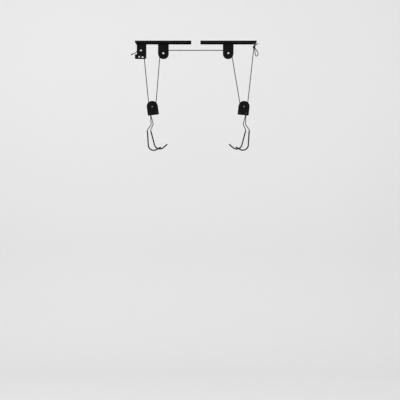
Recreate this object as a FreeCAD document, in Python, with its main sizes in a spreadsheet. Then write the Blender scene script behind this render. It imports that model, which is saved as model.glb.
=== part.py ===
import FreeCAD, Part

import math
import os
import types

import Sketcher

# Rope hoist for a ceiling: two channel rails, three hanging sheaves, two hook blocks and one rope.
# X runs along the rails, Y goes away from the viewer, Z is up.
# The origin lies in the ceiling plane, midway between the two rails. Lengths are in millimetres.

Vector = FreeCAD.Vector
LEFT = -1
RIGHT = 1
FRONT = -1
REAR = 1
BOTH_ENDS = (-0.5, 0.5)

# Shares of a size that set a rounding or a taper.
AXLE_HEAD_ROUND = 0.8
PIN_HEAD_ROUND = 0.7
RIVET_HEAD_TAPER = 0.6
ROPE_ARC_SHARE = 0.45

# Two lengths count as equal within this, and a rope's volume as right within that share.
SAME_LENGTH = 1e-4
SAME_VOLUME = 0.002

DIMENSIONS = (
    # Channel rails
    ("rail_length", 350.0, "length of one rail"),
    ("rail_width", 45.0, "width over the flanges"),
    ("rail_depth", 14.0, "depth of the flanges"),
    ("rail_wall", 2.0, "sheet of the rails"),
    ("rail_bend", 3.5, "outer radius of the folds"),
    ("rail_corner", 4.0, "rounded lower corners of the flange ends"),
    ("rail_spacing", 57.0, "clear distance between the two rails"),
    ("screw_hole", 6.5, "screw holes in the web"),
    ("screw_inner_inset", 37.5, "inner screw hole from the inner rail end"),
    ("screw_outer_inset", 96.5, "outer screw hole from the outer rail end"),
    ("tie_hole", 7.0, "rope holes through both flanges"),
    ("tie_inset", 11.5, "rope holes from the outer rail end"),
    ("tie_drop", 8.0, "rope holes below the ceiling"),
    # Hangers
    ("hanger_wall", 2.0, "sheet of the hangers and block cheeks"),
    ("hanger_bend", 3.5, "outer radius of the hanger folds"),
    ("cheek_gap", 15.0, "inside width of hangers and blocks"),
    ("hanger_width", 66.0, "width of a pulley hanger"),
    ("hanger_round", 32.0, "round lower end of a pulley hanger"),
    ("hanger_inset", 176.0, "pulley axle from the outer rail end"),
    ("axle_drop", 77.0, "pulley axle below the ceiling"),
    ("hanger_skirt", 32.0, "pulley hanger below its axle"),
    # Lock hanger
    ("lock_inset", 36.5, "lock axle from the outer rail end"),
    ("lock_drop", 59.5, "lock axle below the ceiling"),
    ("lock_outer", 26.0, "lock plate outward of its axle"),
    ("lock_inner", 32.2, "lock plate inward of its axle"),
    ("lock_skirt", 49.0, "lock plate below its axle"),
    ("lock_corner", 10.0, "rounded inner lower corner of the lock plate"),
    ("ear_reach", 12.0, "ear outward of the lock plate"),
    ("ear_height", 25.0, "height of the ear"),
    ("ear_round", 4.0, "rounded corners of the ear"),
    ("roller_offset", 2.0, "roller outward of the lock axle"),
    ("roller_drop", 38.1, "roller below the lock axle"),
    ("roller_dia", 10.8, "roller"),
    ("roller_play", 0.2, "roller to slot edge"),
    ("roller_flange", 12.6, "end flanges of the roller"),
    ("roller_flange_wall", 1.2, "thickness of the end flanges"),
    ("roller_side_play", 0.3, "end flange to plate"),
    ("slot_outward", 11.2, "slot travel outward of the roller"),
    ("slot_inward", 13.6, "slot travel inward of the roller"),
    ("slot_slope", 8.0, "fall of the slot towards the rope, degrees"),
    ("anvil_inward", 26.1, "anvil pin inward of the lock axle"),
    ("anvil_drop", 40.5, "anvil pin below the lock axle"),
    ("anvil_dia", 7.0, "anvil pin between the plates"),
    ("anvil_tenon", 5.0, "tenons of the anvil pin"),
    ("anvil_head", 8.4, "closed heads of the anvil pin"),
    # Rivets and axles
    ("rivet_dia", 5.0, "hanger rivets"),
    ("rivet_head", 9.0, "heads of the hanger rivets"),
    ("rivet_head_height", 2.4, "height of the hanger rivet heads"),
    ("rivet_pitch", 40.0, "distance between the two rivets of a hanger"),
    ("axle_dia", 6.0, "sheave axles"),
    ("pulley_head", 13.0, "axle heads of the fixed sheaves"),
    ("pulley_head_height", 3.6, "height of those heads"),
    ("block_head", 9.0, "axle heads of the blocks"),
    ("block_head_height", 2.4, "height of those heads"),
    ("pin_dia", 8.0, "shouldered pins between two cheeks"),
    ("tenon_dia", 6.0, "tenons of the shouldered pins"),
    ("pin_head", 9.5, "closed heads of the shouldered pins"),
    ("pin_head_height", 1.8, "height of those heads"),
    ("hole_fit", 0.05, "radial gap of pins and rivets in their holes"),
    # Sheaves
    ("sheave_dia", 51.0, "sheave over its rim"),
    ("sheave_width", 12.0, "sheave over its rim faces"),
    ("sheave_pitch_dia", 42.0, "rope centre line on the sheave"),
    ("sheave_hub", 20.0, "sheave hub"),
    ("sheave_rim_inside", 29.0, "inner diameter of the rim"),
    ("lock_sheave_dia", 40.0, "smaller sheave of the lock over its rim"),
    ("lock_pitch_dia", 31.0, "rope centre line on the lock sheave"),
    ("lock_sheave_hub", 15.0, "hub of the lock sheave"),
    ("lock_rim_inside", 21.5, "inner diameter of the lock sheave's rim"),
    ("sheave_web", 6.0, "thickness of the web"),
    ("sheave_edge", 0.8, "rounded edges of the sheave"),
    ("hub_play", 0.25, "hub face to cheek"),
    ("groove_play", 0.3, "rope to groove"),
    ("groove_flank", 22.5, "flank of the groove, degrees"),
    ("bore_fit", 0.05, "radial running fit on the axle"),
    # Hook blocks
    ("block_width", 69.0, "width of a block cheek"),
    ("block_round", 33.5, "round upper end of a cheek"),
    ("block_above", 36.0, "cheek above its axle"),
    ("block_below", 50.5, "cheek below its axle"),
    ("block_corner", 3.0, "lower corners of a cheek"),
    ("block_drop", 409.5, "block axle below the ceiling"),
    ("left_block_reach", 271.5, "left block axle from the middle"),
    ("right_block_reach", 301.0, "right block axle from the middle"),
    ("left_block_tilt", 7.5, "lean of the left block, degrees"),
    ("right_block_tilt", 6.0, "lean of the right block, degrees"),
    ("hook_pin_outward", 17.5, "hook pin outward of the block axle"),
    ("hook_pin_drop", 39.5, "hook pin below the block axle"),
    ("spacer_inward", 23.0, "spacer pin inward of the block axle"),
    ("spacer_drop", 40.0, "spacer pin below the block axle"),
    # Hooks
    ("wire_dia", 5.0, "hook wire"),
    ("eye_play", 0.35, "hook eye to pin"),
    ("neck_radius", 5.0, "bend below the eye"),
    ("eye_end", 236.0, "direction of the closed end of the eye, degrees"),
    ("shank_split", 40.0, "level of the wire's first section below the pin"),
    ("shank_drop", 70.0, "first kink below the pin"),
    ("kink_run", 40.0, "length of the slanted stretch"),
    ("kink_slant", 40.0, "slant of that stretch, degrees"),
    ("kink_radius", 9.0, "bend radius of both kinks"),
    ("hook_drop", 230.5, "lowest wire centre below the pin"),
    ("hook_radius", 34.0, "bend radius of the J"),
    ("tip_rise", 25.0, "rise of the tip, degrees"),
    ("tip_length", 30.0, "straight end of the tip"),
    ("grip_dia", 8.4, "dipped sleeve"),
    ("grip_fit", 0.05, "sleeve bore to wire, radial"),
    ("grip_start", 106.0, "upper end of the sleeve below the pin"),
    ("hook_spread", 9.4, "distance between the planes of the two hooks"),
    ("plumb_swing", 3.5, "lean of the hanging hook, degrees"),
    ("loaded_swing", 15.0, "lean of the hook that is held inward, degrees"),
    # Rope
    ("rope_dia", 5.0, "rope"),
    ("tail_wrap", 138.0, "direction where the tail leaves the lock sheave, degrees"),
    ("end_sleeve_dia", 6.4, "sealed rope end"),
    ("end_sleeve_length", 11.0, "length of the sealed end"),
    ("end_sleeve_round", 1.6, "rounded edge of the sealed end"),
    ("knot_core", 10.0, "core of the knot"),
    ("knot_ring", 9.2, "centre line of a knot turn"),
    ("knot_turn", 6.4, "thickness of a knot turn"),
    ("knot_pitch", 6.2, "distance between knot turns"),
    ("knot_drop", 36.5, "middle of the knot below the ceiling"),
    ("knot_inset", 14.0, "knot from the outer rail end"),
    ("knot_length", 18.0, "length of the knot core"),
    ("fall_aside", 2.4, "anchored fall inward of the knot's middle"),
    ("fall_overlap", 0.6, "anchored fall inside the knot"),
    ("tie_clear", 4.8, "tie loop outside the flange"),
    ("tie_upright", 12.0, "upright stretch of the tie loop below its hole"),
    ("tie_leg_gap", 6.0, "distance between the tie loop's legs at the knot"),
    ("tie_overlap", 1.4, "tie loop inside the knot"),
)

# Route of the free end: each run's length, and the degrees by which it is flatter than the one before.
TAIL_RUNS = ((13.0, 0.0), (13.0, 4.0), (10.0, 9.0), (9.0, 9.0), (8.0, 8.0))

# Points of the bow loop and of the short end, from the middle of the knot.
BOW = (
    (4.2, -3.4, -6.4), (10.0, -4.4, -14.5), (18.5, -5.0, -25.0), (25.0, -4.2, -39.0), (23.5, -1.9, -50.0),
    (17.6, 0.5, -55.4), (10.3, 2.7, -53.7), (7.2, 4.2, -42.0), (5.9, 4.6, -29.5), (4.9, 4.0, -17.5),
    (3.6, 3.2, -6.6),
)
SHORT_END = ((2.5, 0.0, 2.0), (6.5, 0.0, 8.6), (11.6, 0.0, 14.6), (17.6, 0.0, 19.6), (24.4, 0.0, 23.6))


class Size:
    """A number with the sheet formula that it is bound to."""

    def __init__(self, value, formula):
        self.value = float(value)
        self.formula = formula

    def __add__(self, other):
        other = as_size(other)
        return Size(self.value + other.value, f"({self.formula} + {other.formula})")

    def __sub__(self, other):
        other = as_size(other)
        return Size(self.value - other.value, f"({self.formula} - {other.formula})")

    def __mul__(self, other):
        other = as_size(other)
        return Size(self.value * other.value, f"({self.formula} * {other.formula})")

    def __truediv__(self, other):
        other = as_size(other)
        return Size(self.value / other.value, f"({self.formula} / {other.formula})")

    def __neg__(self):
        return self * -1

    def __radd__(self, other):
        return as_size(other) + self

    def __rsub__(self, other):
        return as_size(other) - self

    def __rmul__(self, other):
        return as_size(other) * self


def as_size(number):
    if isinstance(number, Size):
        return number
    return Size(number, f"({float(number)})")


def sine(angle):
    return Size(math.sin(math.radians(angle.value)), f"sin({angle.formula})")


def cosine(angle):
    return Size(math.cos(math.radians(angle.value)), f"cos({angle.formula})")


def square_root(number):
    return Size(math.sqrt(number.value), f"sqrt({number.formula})")


doc = FreeCAD.newDocument("CeilingHoist")


def make_sheet():
    """Write the driving sizes into the sheet and hand them back by name."""
    sheet = doc.addObject("Spreadsheet::Sheet", "Sizes")
    for row, (name, value, meaning) in enumerate(DIMENSIONS, start=1):
        sheet.set(f"A{row}", name)
        sheet.set(f"B{row}", str(value))
        sheet.setAlias(f"B{row}", name)
        sheet.set(f"C{row}", meaning)
    doc.recompute()
    names = [name for name, value, meaning in DIMENSIONS]
    return types.SimpleNamespace(**{name: Size(sheet.get(name), f"Sizes.{name}") for name in names})


D = make_sheet()
nodes = []


def bind(item, prop, number):
    """Tie one property to its formula."""
    item.setExpression(prop, as_size(number).formula)


def new_body(label):
    body = doc.addObject("PartDesign::Body", label)
    body.Label = label
    nodes.append(body)
    return body


def place(item, x, y, z, lean=None, side=RIGHT):
    """Put an item at a point; a lean swings its lower end towards the middle."""
    if lean is not None:
        item.Placement = FreeCAD.Placement(Vector(), FreeCAD.Rotation(Vector(0, side, 0), lean.value))
        bind(item, "Placement.Rotation.Angle", lean)
    bind(item, "Placement.Base.x", x)
    bind(item, "Placement.Base.y", y)
    bind(item, "Placement.Base.z", z)


def new_sketch(body, role, name, lift=None):
    """Start a sketch on one of the body's own origin planes."""
    sketch = body.newObject("Sketcher::SketchObject", name)
    for plane in body.Origin.OriginFeatures:
        if plane.Role == role:
            sketch.AttachmentSupport = [(plane, "")]
    sketch.MapMode = "FlatFace"
    if lift is not None:
        bind(sketch, "AttachmentOffset.Base.z", lift)
    return sketch


def constrain(sketch, number, kind, *references):
    number = as_size(number)
    index = sketch.addConstraint(Sketcher.Constraint(kind, *references, number.value))
    sketch.setExpression(f"Constraints[{index}]", number.formula)


def fix_point(sketch, geometry, position, x, y):
    constrain(sketch, x, "DistanceX", -1, 1, geometry, position)
    constrain(sketch, y, "DistanceY", -1, 1, geometry, position)


def flat(x, y):
    return Vector(as_size(x).value, as_size(y).value, 0)


def draw_circle(sketch, x, y, diameter):
    curve = Part.Circle(flat(x, y), Vector(0, 0, 1), as_size(diameter).value / 2)
    circle = sketch.addGeometry(curve)
    fix_point(sketch, circle, 3, x, y)
    constrain(sketch, diameter, "Diameter", circle)


def draw_arc(sketch, centre, first, last, turns_left):
    """Add an arc; hand back its number and which of its ends is first and last."""
    begin, end = (first, last) if turns_left else (last, first)
    start_angle = math.atan2(begin.y - centre.y, begin.x - centre.x)
    end_angle = math.atan2(end.y - centre.y, end.x - centre.x)
    if end_angle <= start_angle:
        end_angle += 2 * math.pi
    circle = Part.Circle(centre, Vector(0, 0, 1), (first - centre).Length)
    arc = sketch.addGeometry(Part.ArcOfCircle(circle, start_angle, end_angle))
    return (arc, 1, 2) if turns_left else (arc, 2, 1)


def draw_outline(sketch, corners, closed=True):
    """Straight edges through the corners (x, y, radius), with a tangent arc at each rounded corner."""
    count = len(corners)
    points = [flat(x, y) for x, y, radius in corners]
    arrivals = list(points)
    departures = list(points)
    rounded = {}
    for i, (x, y, radius) in enumerate(corners):
        if as_size(radius).value == 0:
            continue
        back = (points[i - 1] - points[i]).normalize()
        ahead = (points[(i + 1) % count] - points[i]).normalize()
        half = back.getAngle(ahead) / 2
        reach = as_size(radius).value / math.tan(half)
        arrivals[i] = points[i] + back * reach
        departures[i] = points[i] + ahead * reach
        middle = (back + ahead).normalize()
        centre = points[i] + middle * (as_size(radius).value / math.sin(half))
        rounded[i] = (centre, back.cross(ahead).z < 0)
    last_line = count if closed else count - 1
    lines = []
    for i in range(last_line):
        lines.append(sketch.addGeometry(Part.LineSegment(departures[i], arrivals[(i + 1) % count])))
    for i, (x, y, radius) in enumerate(corners):
        if not closed and i == 0:
            fix_point(sketch, lines[0], 1, x, y)
            continue
        if not closed and i == count - 1:
            fix_point(sketch, lines[-1], 2, x, y)
            continue
        before = lines[i - 1]
        after = lines[i]
        if i not in rounded:
            sketch.addConstraint(Sketcher.Constraint("Coincident", before, 2, after, 1))
            fix_point(sketch, after, 1, x, y)
            continue
        centre, turns_left = rounded[i]
        arc, first, last = draw_arc(sketch, centre, arrivals[i], departures[i], turns_left)
        sketch.addConstraint(Sketcher.Constraint("Tangent", before, 2, arc, first))
        sketch.addConstraint(Sketcher.Constraint("Tangent", arc, last, after, 1))
        constrain(sketch, radius, "Radius", arc)
        corner = sketch.addGeometry(Part.Point(points[i]), True)
        sketch.addConstraint(Sketcher.Constraint("PointOnObject", corner, 1, before))
        sketch.addConstraint(Sketcher.Constraint("PointOnObject", corner, 1, after))
        fix_point(sketch, corner, 1, x, y)


def pad(body, sketch, length):
    feature = body.newObject("PartDesign::Pad", sketch.Name + "_pad")
    feature.Profile = sketch
    feature.SideType = "Symmetric"
    bind(feature, "Length", length)
    return feature


def cut_through(body, sketch):
    feature = body.newObject("PartDesign::Pocket", sketch.Name + "_cut")
    feature.Profile = sketch
    feature.Type = "ThroughAll"
    feature.SideType = "Symmetric"
    return feature


def turn(body, sketch):
    """Revolve a half profile about the sketch's upright axis."""
    feature = body.newObject("PartDesign::Revolution", sketch.Name + "_turned")
    feature.Profile = sketch
    feature.ReferenceAxis = (sketch, ["V_Axis"])
    feature.Angle = 360
    return feature


def pipe(body, kind, profile, spine):
    feature = body.newObject(f"PartDesign::{kind}Pipe", spine.Name + "_" + profile.Name)
    feature.Profile = profile
    feature.Spine = spine
    return feature


def round_edges(body, base, radius, wanted):
    """Fillet the edges of a feature that a test picks by their place."""
    doc.recompute()
    names = [f"Edge{i}" for i, edge in enumerate(base.Shape.Edges, start=1) if wanted(edge)]
    feature = body.newObject("PartDesign::Fillet", base.Name + "_round")
    feature.Base = (base, names)
    bind(feature, "Radius", radius)
    return feature


def near(first, second):
    return abs(first - second) < SAME_LENGTH


rail_end = D.rail_spacing / 2 + D.rail_length
rail_middle = D.rail_spacing / 2 + D.rail_length / 2
half_gap = D.cheek_gap / 2
half_over = D.cheek_gap / 2 + D.hanger_wall
hanger_top = -D.rail_wall
pulley_reach = rail_end - D.hanger_inset
lock_reach = rail_end - D.lock_inset
lock_web_middle = (D.lock_outer - D.lock_inner) / 2
hole_extra = D.hole_fit * 2
large_wheel = (D.sheave_dia, D.sheave_pitch_dia, D.sheave_hub, D.sheave_rim_inside)
lock_wheel = (D.lock_sheave_dia, D.lock_pitch_dia, D.lock_sheave_hub, D.lock_rim_inside)


def make_rail(label, side, rivet_centres, tie_holes):
    """Channel of folded sheet, open downward, with screw and rivet holes in its web."""
    body = new_body(label)
    half = D.rail_width / 2
    inside = half - D.rail_wall
    inner_bend = D.rail_bend - D.rail_wall
    section = new_sketch(body, "YZ_Plane", label + "_section")
    draw_outline(section, (
        (-half, -D.rail_depth, 0),
        (-half, 0, D.rail_bend),
        (half, 0, D.rail_bend),
        (half, -D.rail_depth, 0),
        (inside, -D.rail_depth, 0),
        (inside, -D.rail_wall, inner_bend),
        (-inside, -D.rail_wall, inner_bend),
        (-inside, -D.rail_depth, 0),
    ))
    pad(body, section, D.rail_length)
    web_holes = new_sketch(body, "XY_Plane", label + "_web_holes")
    half_length = D.rail_length / 2
    draw_circle(web_holes, side * (D.screw_inner_inset - half_length), 0, D.screw_hole)
    draw_circle(web_holes, side * (half_length - D.screw_outer_inset), 0, D.screw_hole)
    for centre in rivet_centres:
        for shift in BOTH_ENDS:
            x = side * (centre - rail_middle) + D.rivet_pitch * shift
            draw_circle(web_holes, x, 0, D.rivet_dia + hole_extra)
    last = cut_through(body, web_holes)
    if tie_holes:
        flange_holes = new_sketch(body, "XZ_Plane", label + "_flange_holes")
        draw_circle(flange_holes, side * (half_length - D.tie_inset), -D.tie_drop, D.tie_hole)
        last = cut_through(body, flange_holes)

    def flange_corner(edge):
        box = edge.BoundBox
        at_end = near(abs(box.XMin), half_length.value) and near(box.XLength, 0)
        return at_end and near(box.ZMax, -D.rail_depth.value) and near(box.YLength, D.rail_wall.value)

    round_edges(body, last, D.rail_corner, flange_corner)
    place(body, side * rail_middle, 0, 0)


def hollow_hanger(body, outline, web_x):
    """Turn a padded outline into a folded hanger: open inside, folded edges, rivet holes in its web."""
    label = body.Label
    base = pad(body, outline, half_over * 2)

    def fold(edge):
        box = edge.BoundBox
        on_side = near(abs(box.YMin), half_over.value) and near(box.YLength, 0)
        return on_side and near(box.ZMin, hanger_top.value) and near(box.ZLength, 0)

    round_edges(body, base, D.hanger_bend, fold)
    hollow = new_sketch(body, "YZ_Plane", label + "_hollow")
    inner_bend = D.hanger_bend - D.hanger_wall
    ceiling = hanger_top - D.hanger_wall
    below = -(D.lock_drop + D.axle_drop) * 2
    draw_outline(hollow, (
        (-half_gap, below, 0),
        (half_gap, below, 0),
        (half_gap, ceiling, inner_bend),
        (-half_gap, ceiling, inner_bend),
    ))
    cut_through(body, hollow)
    holes = new_sketch(body, "XY_Plane", label + "_rivet_holes")
    for shift in BOTH_ENDS:
        draw_circle(holes, web_x + D.rivet_pitch * shift, 0, D.rivet_dia + hole_extra)
    cut_through(body, holes)


def make_pulley_hanger(label, side):
    body = new_body(label)
    half = D.hanger_width / 2
    bottom = -(D.axle_drop + D.hanger_skirt)
    outline = new_sketch(body, "XZ_Plane", label + "_outline")
    draw_outline(outline, (
        (-half, bottom, D.hanger_round),
        (half, bottom, D.hanger_round),
        (half, hanger_top, 0),
        (-half, hanger_top, 0),
    ))
    draw_circle(outline, 0, -D.axle_drop, D.axle_dia + hole_extra)
    hollow_hanger(body, outline, as_size(0))
    place(body, side * pulley_reach, 0, 0)


def make_lock_hanger(label):
    """Hanger of the lock: ear at its outer lower corner and a sloping slot for the roller."""
    body = new_body(label)
    bottom = -(D.lock_drop + D.lock_skirt)
    ear_top = bottom + D.ear_height
    outer = -D.lock_outer
    ear = outer - D.ear_reach
    outline = new_sketch(body, "XZ_Plane", label + "_outline")
    draw_outline(outline, (
        (ear, bottom, D.ear_round),
        (D.lock_inner, bottom, D.lock_corner),
        (D.lock_inner, hanger_top, 0),
        (outer, hanger_top, 0),
        (outer, ear_top, D.ear_round),
        (ear, ear_top, D.ear_round),
    ))
    draw_circle(outline, 0, -D.lock_drop, D.axle_dia + hole_extra)
    draw_circle(outline, D.anvil_inward, -(D.lock_drop + D.anvil_drop), D.anvil_tenon + hole_extra)
    hollow_hanger(body, outline, -lock_web_middle)
    draw_slot(body)
    place(body, -lock_reach, 0, 0)


def draw_slot(body):
    """Slot through both plates, falling towards the rope."""
    slot = new_sketch(body, "XZ_Plane", body.Label + "_slot")
    radius = D.roller_dia / 2 + D.roller_play
    along_x = cosine(D.slot_slope)
    along_z = -sine(D.slot_slope)
    middle_x = -D.roller_offset
    middle_z = -(D.lock_drop + D.roller_drop)
    ends = []
    for travel in (-D.slot_outward, D.slot_inward):
        ends.append((middle_x + along_x * travel, middle_z + along_z * travel))
    (ax, az), (bx, bz) = ends
    up_x = -along_z * radius
    up_z = along_x * radius
    corners = ((ax + up_x, az + up_z), (ax - up_x, az - up_z), (bx - up_x, bz - up_z), (bx + up_x, bz + up_z))
    points = [flat(x, z) for x, z in corners]
    lower = slot.addGeometry(Part.LineSegment(points[1], points[2]))
    upper = slot.addGeometry(Part.LineSegment(points[3], points[0]))
    outer, outer_first, outer_last = draw_arc(slot, flat(ax, az), points[0], points[1], True)
    inner, inner_first, inner_last = draw_arc(slot, flat(bx, bz), points[2], points[3], True)
    fix_point(slot, outer, 3, ax, az)
    fix_point(slot, inner, 3, bx, bz)
    slot.addConstraint(Sketcher.Constraint("Tangent", outer, outer_last, lower, 1))
    slot.addConstraint(Sketcher.Constraint("Tangent", lower, 2, inner, inner_first))
    slot.addConstraint(Sketcher.Constraint("Tangent", inner, inner_last, upper, 1))
    slot.addConstraint(Sketcher.Constraint("Tangent", upper, 2, outer, outer_first))
    constrain(slot, radius, "Radius", outer)
    cut_through(body, slot)


def make_hanger_rivets(label):
    """Six rivets, flush with the rail top and headed under the hanger webs."""
    centres = (pulley_reach, -pulley_reach, -lock_reach - lock_web_middle)
    grip = D.rail_wall + D.hanger_wall
    rivets = []
    for centre in centres:
        for shift in BOTH_ENDS:
            number = len(rivets) + 1
            x = centre + D.rivet_pitch * shift
            shank = doc.addObject("Part::Cylinder", f"rivet_shank_{number}")
            bind(shank, "Radius", D.rivet_dia / 2)
            bind(shank, "Height", grip + D.rivet_head_height / 2)
            place(shank, x, 0, -(grip + D.rivet_head_height / 2))
            head = doc.addObject("Part::Cone", f"rivet_head_{number}")
            bind(head, "Radius1", D.rivet_head / 2 * RIVET_HEAD_TAPER)
            bind(head, "Radius2", D.rivet_head / 2)
            bind(head, "Height", D.rivet_head_height)
            place(head, x, 0, -(grip + D.rivet_head_height))
            rivet = doc.addObject("Part::MultiFuse", f"rivet_{number}")
            rivet.Shapes = [shank, head]
            rivets.append(rivet)
    group = doc.addObject("Part::Compound", label)
    group.Label = label
    group.Links = rivets
    nodes.append(group)


def make_axle(label, x, z, head, head_height):
    """Riveted axle across two plates, one rounded head on each side."""
    body = new_body(label)
    radius = D.axle_dia / 2
    end = half_over + head_height
    profile = new_sketch(body, "XY_Plane", label + "_profile")
    draw_outline(profile, (
        (0, -end, 0),
        (head / 2, -end, head_height * AXLE_HEAD_ROUND),
        (head / 2, -half_over, 0),
        (radius, -half_over, 0),
        (radius, half_over, 0),
        (head / 2, half_over, 0),
        (head / 2, end, head_height * AXLE_HEAD_ROUND),
        (0, end, 0),
    ))
    turn(body, profile)
    place(body, x, 0, z)


def make_shouldered_pin(label, x, z, diameter=D.pin_dia, tenon=D.tenon_dia, head=D.pin_head):
    """Pin whose shoulders hold two plates apart, with tenons closed over outside."""
    body = new_body(label)
    end = half_over + D.pin_head_height
    profile = new_sketch(body, "XY_Plane", label + "_profile")
    draw_outline(profile, (
        (0, -end, 0),
        (head / 2, -end, D.pin_head_height * PIN_HEAD_ROUND),
        (head / 2, -half_over, 0),
        (tenon / 2, -half_over, 0),
        (tenon / 2, -half_gap, 0),
        (diameter / 2, -half_gap, 0),
        (diameter / 2, half_gap, 0),
        (tenon / 2, half_gap, 0),
        (tenon / 2, half_over, 0),
        (head / 2, half_over, 0),
        (head / 2, end, D.pin_head_height * PIN_HEAD_ROUND),
        (0, end, 0),
    ))
    turn(body, profile)
    place(body, x, 0, z)


def make_roller(label):
    """Lock roller with a thin flange outside each plate."""
    body = new_body(label)
    barrel = half_over + D.roller_side_play
    end = barrel + D.roller_flange_wall
    profile = new_sketch(body, "XY_Plane", label + "_profile")
    draw_outline(profile, (
        (0, -end, 0),
        (D.roller_flange / 2, -end, D.roller_flange_wall / 2),
        (D.roller_flange / 2, -barrel, 0),
        (D.roller_dia / 2, -barrel, 0),
        (D.roller_dia / 2, barrel, 0),
        (D.roller_flange / 2, barrel, 0),
        (D.roller_flange / 2, end, D.roller_flange_wall / 2),
        (0, end, 0),
    ))
    turn(body, profile)
    place(body, -(lock_reach + D.roller_offset), 0, -(D.lock_drop + D.roller_drop))


def make_sheave(label, x, z, wheel):
    """Grooved wheel: hub, thinner web, rim with a rope groove of round bottom and straight flanks."""
    body = new_body(label)
    rim, pitch, hub, rim_inside = (diameter / 2 for diameter in wheel)
    rim_face = D.sheave_width / 2
    hub_face = half_gap - D.hub_play
    web_face = D.sheave_web / 2
    bore = D.axle_dia / 2 + D.bore_fit
    bottom_radius = D.rope_dia / 2 + D.groove_play
    apex = pitch - bottom_radius / sine(D.groove_flank)
    lip = ((rim - pitch) * sine(D.groove_flank) + bottom_radius) / cosine(D.groove_flank)
    edge = D.sheave_edge
    lower = (
        (bore, hub_face, 0),
        (hub, hub_face, edge),
        (hub, web_face, edge),
        (rim_inside, web_face, edge),
        (rim_inside, rim_face, edge / 2),
        (rim, rim_face, edge / 2),
        (rim, lip, edge / 4),
    )
    corners = [(r, -y, rounding) for r, y, rounding in lower]
    corners.append((apex, 0, bottom_radius))
    corners.extend(reversed(lower))
    profile = new_sketch(body, "XY_Plane", label + "_profile")
    draw_outline(profile, corners)
    turn(body, profile)
    place(body, x, 0, z)


def swung(side, outward, drop, lean):
    """Offset of a point of a piece whose lower end leans towards the middle."""
    x = side * (outward * cosine(lean) - drop * sine(lean))
    z = -(outward * sine(lean) + drop * cosine(lean))
    return x, z


def make_cheek(label, side, face, x, z, tilt):
    """Block plate: round top, square bottom, holes for axle, hook pin and spacer."""
    body = new_body(label)
    half = D.block_width / 2
    outline = new_sketch(body, "XZ_Plane", label + "_outline")
    draw_outline(outline, (
        (-half, -D.block_below, D.block_corner),
        (half, -D.block_below, D.block_corner),
        (half, D.block_above, D.block_round),
        (-half, D.block_above, D.block_round),
    ))
    draw_circle(outline, 0, 0, D.axle_dia + hole_extra)
    draw_circle(outline, side * D.hook_pin_outward, -D.hook_pin_drop, D.tenon_dia + hole_extra)
    draw_circle(outline, -side * D.spacer_inward, -D.spacer_drop, D.tenon_dia + hole_extra)
    pad(body, outline, D.hanger_wall)
    place(body, x, face * (half_gap + D.hanger_wall / 2), z, tilt, side)


kink_out = D.kink_run * sine(D.kink_slant)
kink_drop = D.shank_drop + D.kink_run * cosine(D.kink_slant)
bend_corner = D.hook_radius * (1 + sine(D.tip_rise)) / cosine(D.tip_rise)
bend_corner_z = D.hook_radius - D.hook_drop - bend_corner
tip_out = kink_out - D.hook_radius * (1 + sine(D.tip_rise)) - D.tip_length * cosine(D.tip_rise)
tip_z = D.hook_radius * (1 - cosine(D.tip_rise)) - D.hook_drop + D.tip_length * sine(D.tip_rise)


def draw_eye(sketch, side):
    """Shank, neck bend and open ring around the pin, joined tangent to each other."""
    ring = D.pin_dia / 2 + D.eye_play + D.wire_dia / 2
    neck = D.neck_radius
    neck_z = -square_root((ring + neck) * (ring + neck) - neck * neck)
    share = ring / (ring + neck)
    join_x = side * neck * share
    join_z = neck_z * share
    end_x = side * ring * cosine(D.eye_end)
    end_z = ring * sine(D.eye_end)
    shank = sketch.addGeometry(Part.LineSegment(flat(0, -D.shank_split), flat(0, neck_z)))
    fix_point(sketch, shank, 1, 0, -D.shank_split)
    fix_point(sketch, shank, 2, 0, neck_z)
    bend_centre = flat(side * neck, neck_z)
    bend, first, last = draw_arc(sketch, bend_centre, flat(0, neck_z), flat(join_x, join_z), side == LEFT)
    sketch.addConstraint(Sketcher.Constraint("Coincident", shank, 2, bend, first))
    fix_point(sketch, bend, last, join_x, join_z)
    constrain(sketch, neck, "Radius", bend)
    loop, start, end = draw_arc(sketch, flat(0, 0), flat(join_x, join_z), flat(end_x, end_z), side == RIGHT)
    sketch.addConstraint(Sketcher.Constraint("Coincident", bend, last, loop, start))
    fix_point(sketch, loop, end, end_x, end_z)
    constrain(sketch, ring, "Radius", loop)


def make_hook(label, side, x, y, z, lean):
    """Wire hook: eye, shank, slanted stretch, back and J, swept from one section on the shank."""
    body = new_body(label)
    section = new_sketch(body, "XY_Plane", label + "_section", -D.shank_split)
    draw_circle(section, 0, 0, D.wire_dia)
    eye = new_sketch(body, "XZ_Plane", label + "_eye")
    draw_eye(eye, side)
    leg = new_sketch(body, "XZ_Plane", label + "_leg")
    draw_outline(leg, (
        (0, -D.shank_split, 0),
        (0, -D.shank_drop, D.kink_radius),
        (side * kink_out, -kink_drop, D.kink_radius),
        (side * kink_out, bend_corner_z, D.hook_radius),
        (side * tip_out, tip_z, 0),
    ), closed=False)
    pipe(body, "Additive", section, leg)
    pipe(body, "Additive", section, eye)
    place(body, x, y, z, lean, side)


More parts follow.
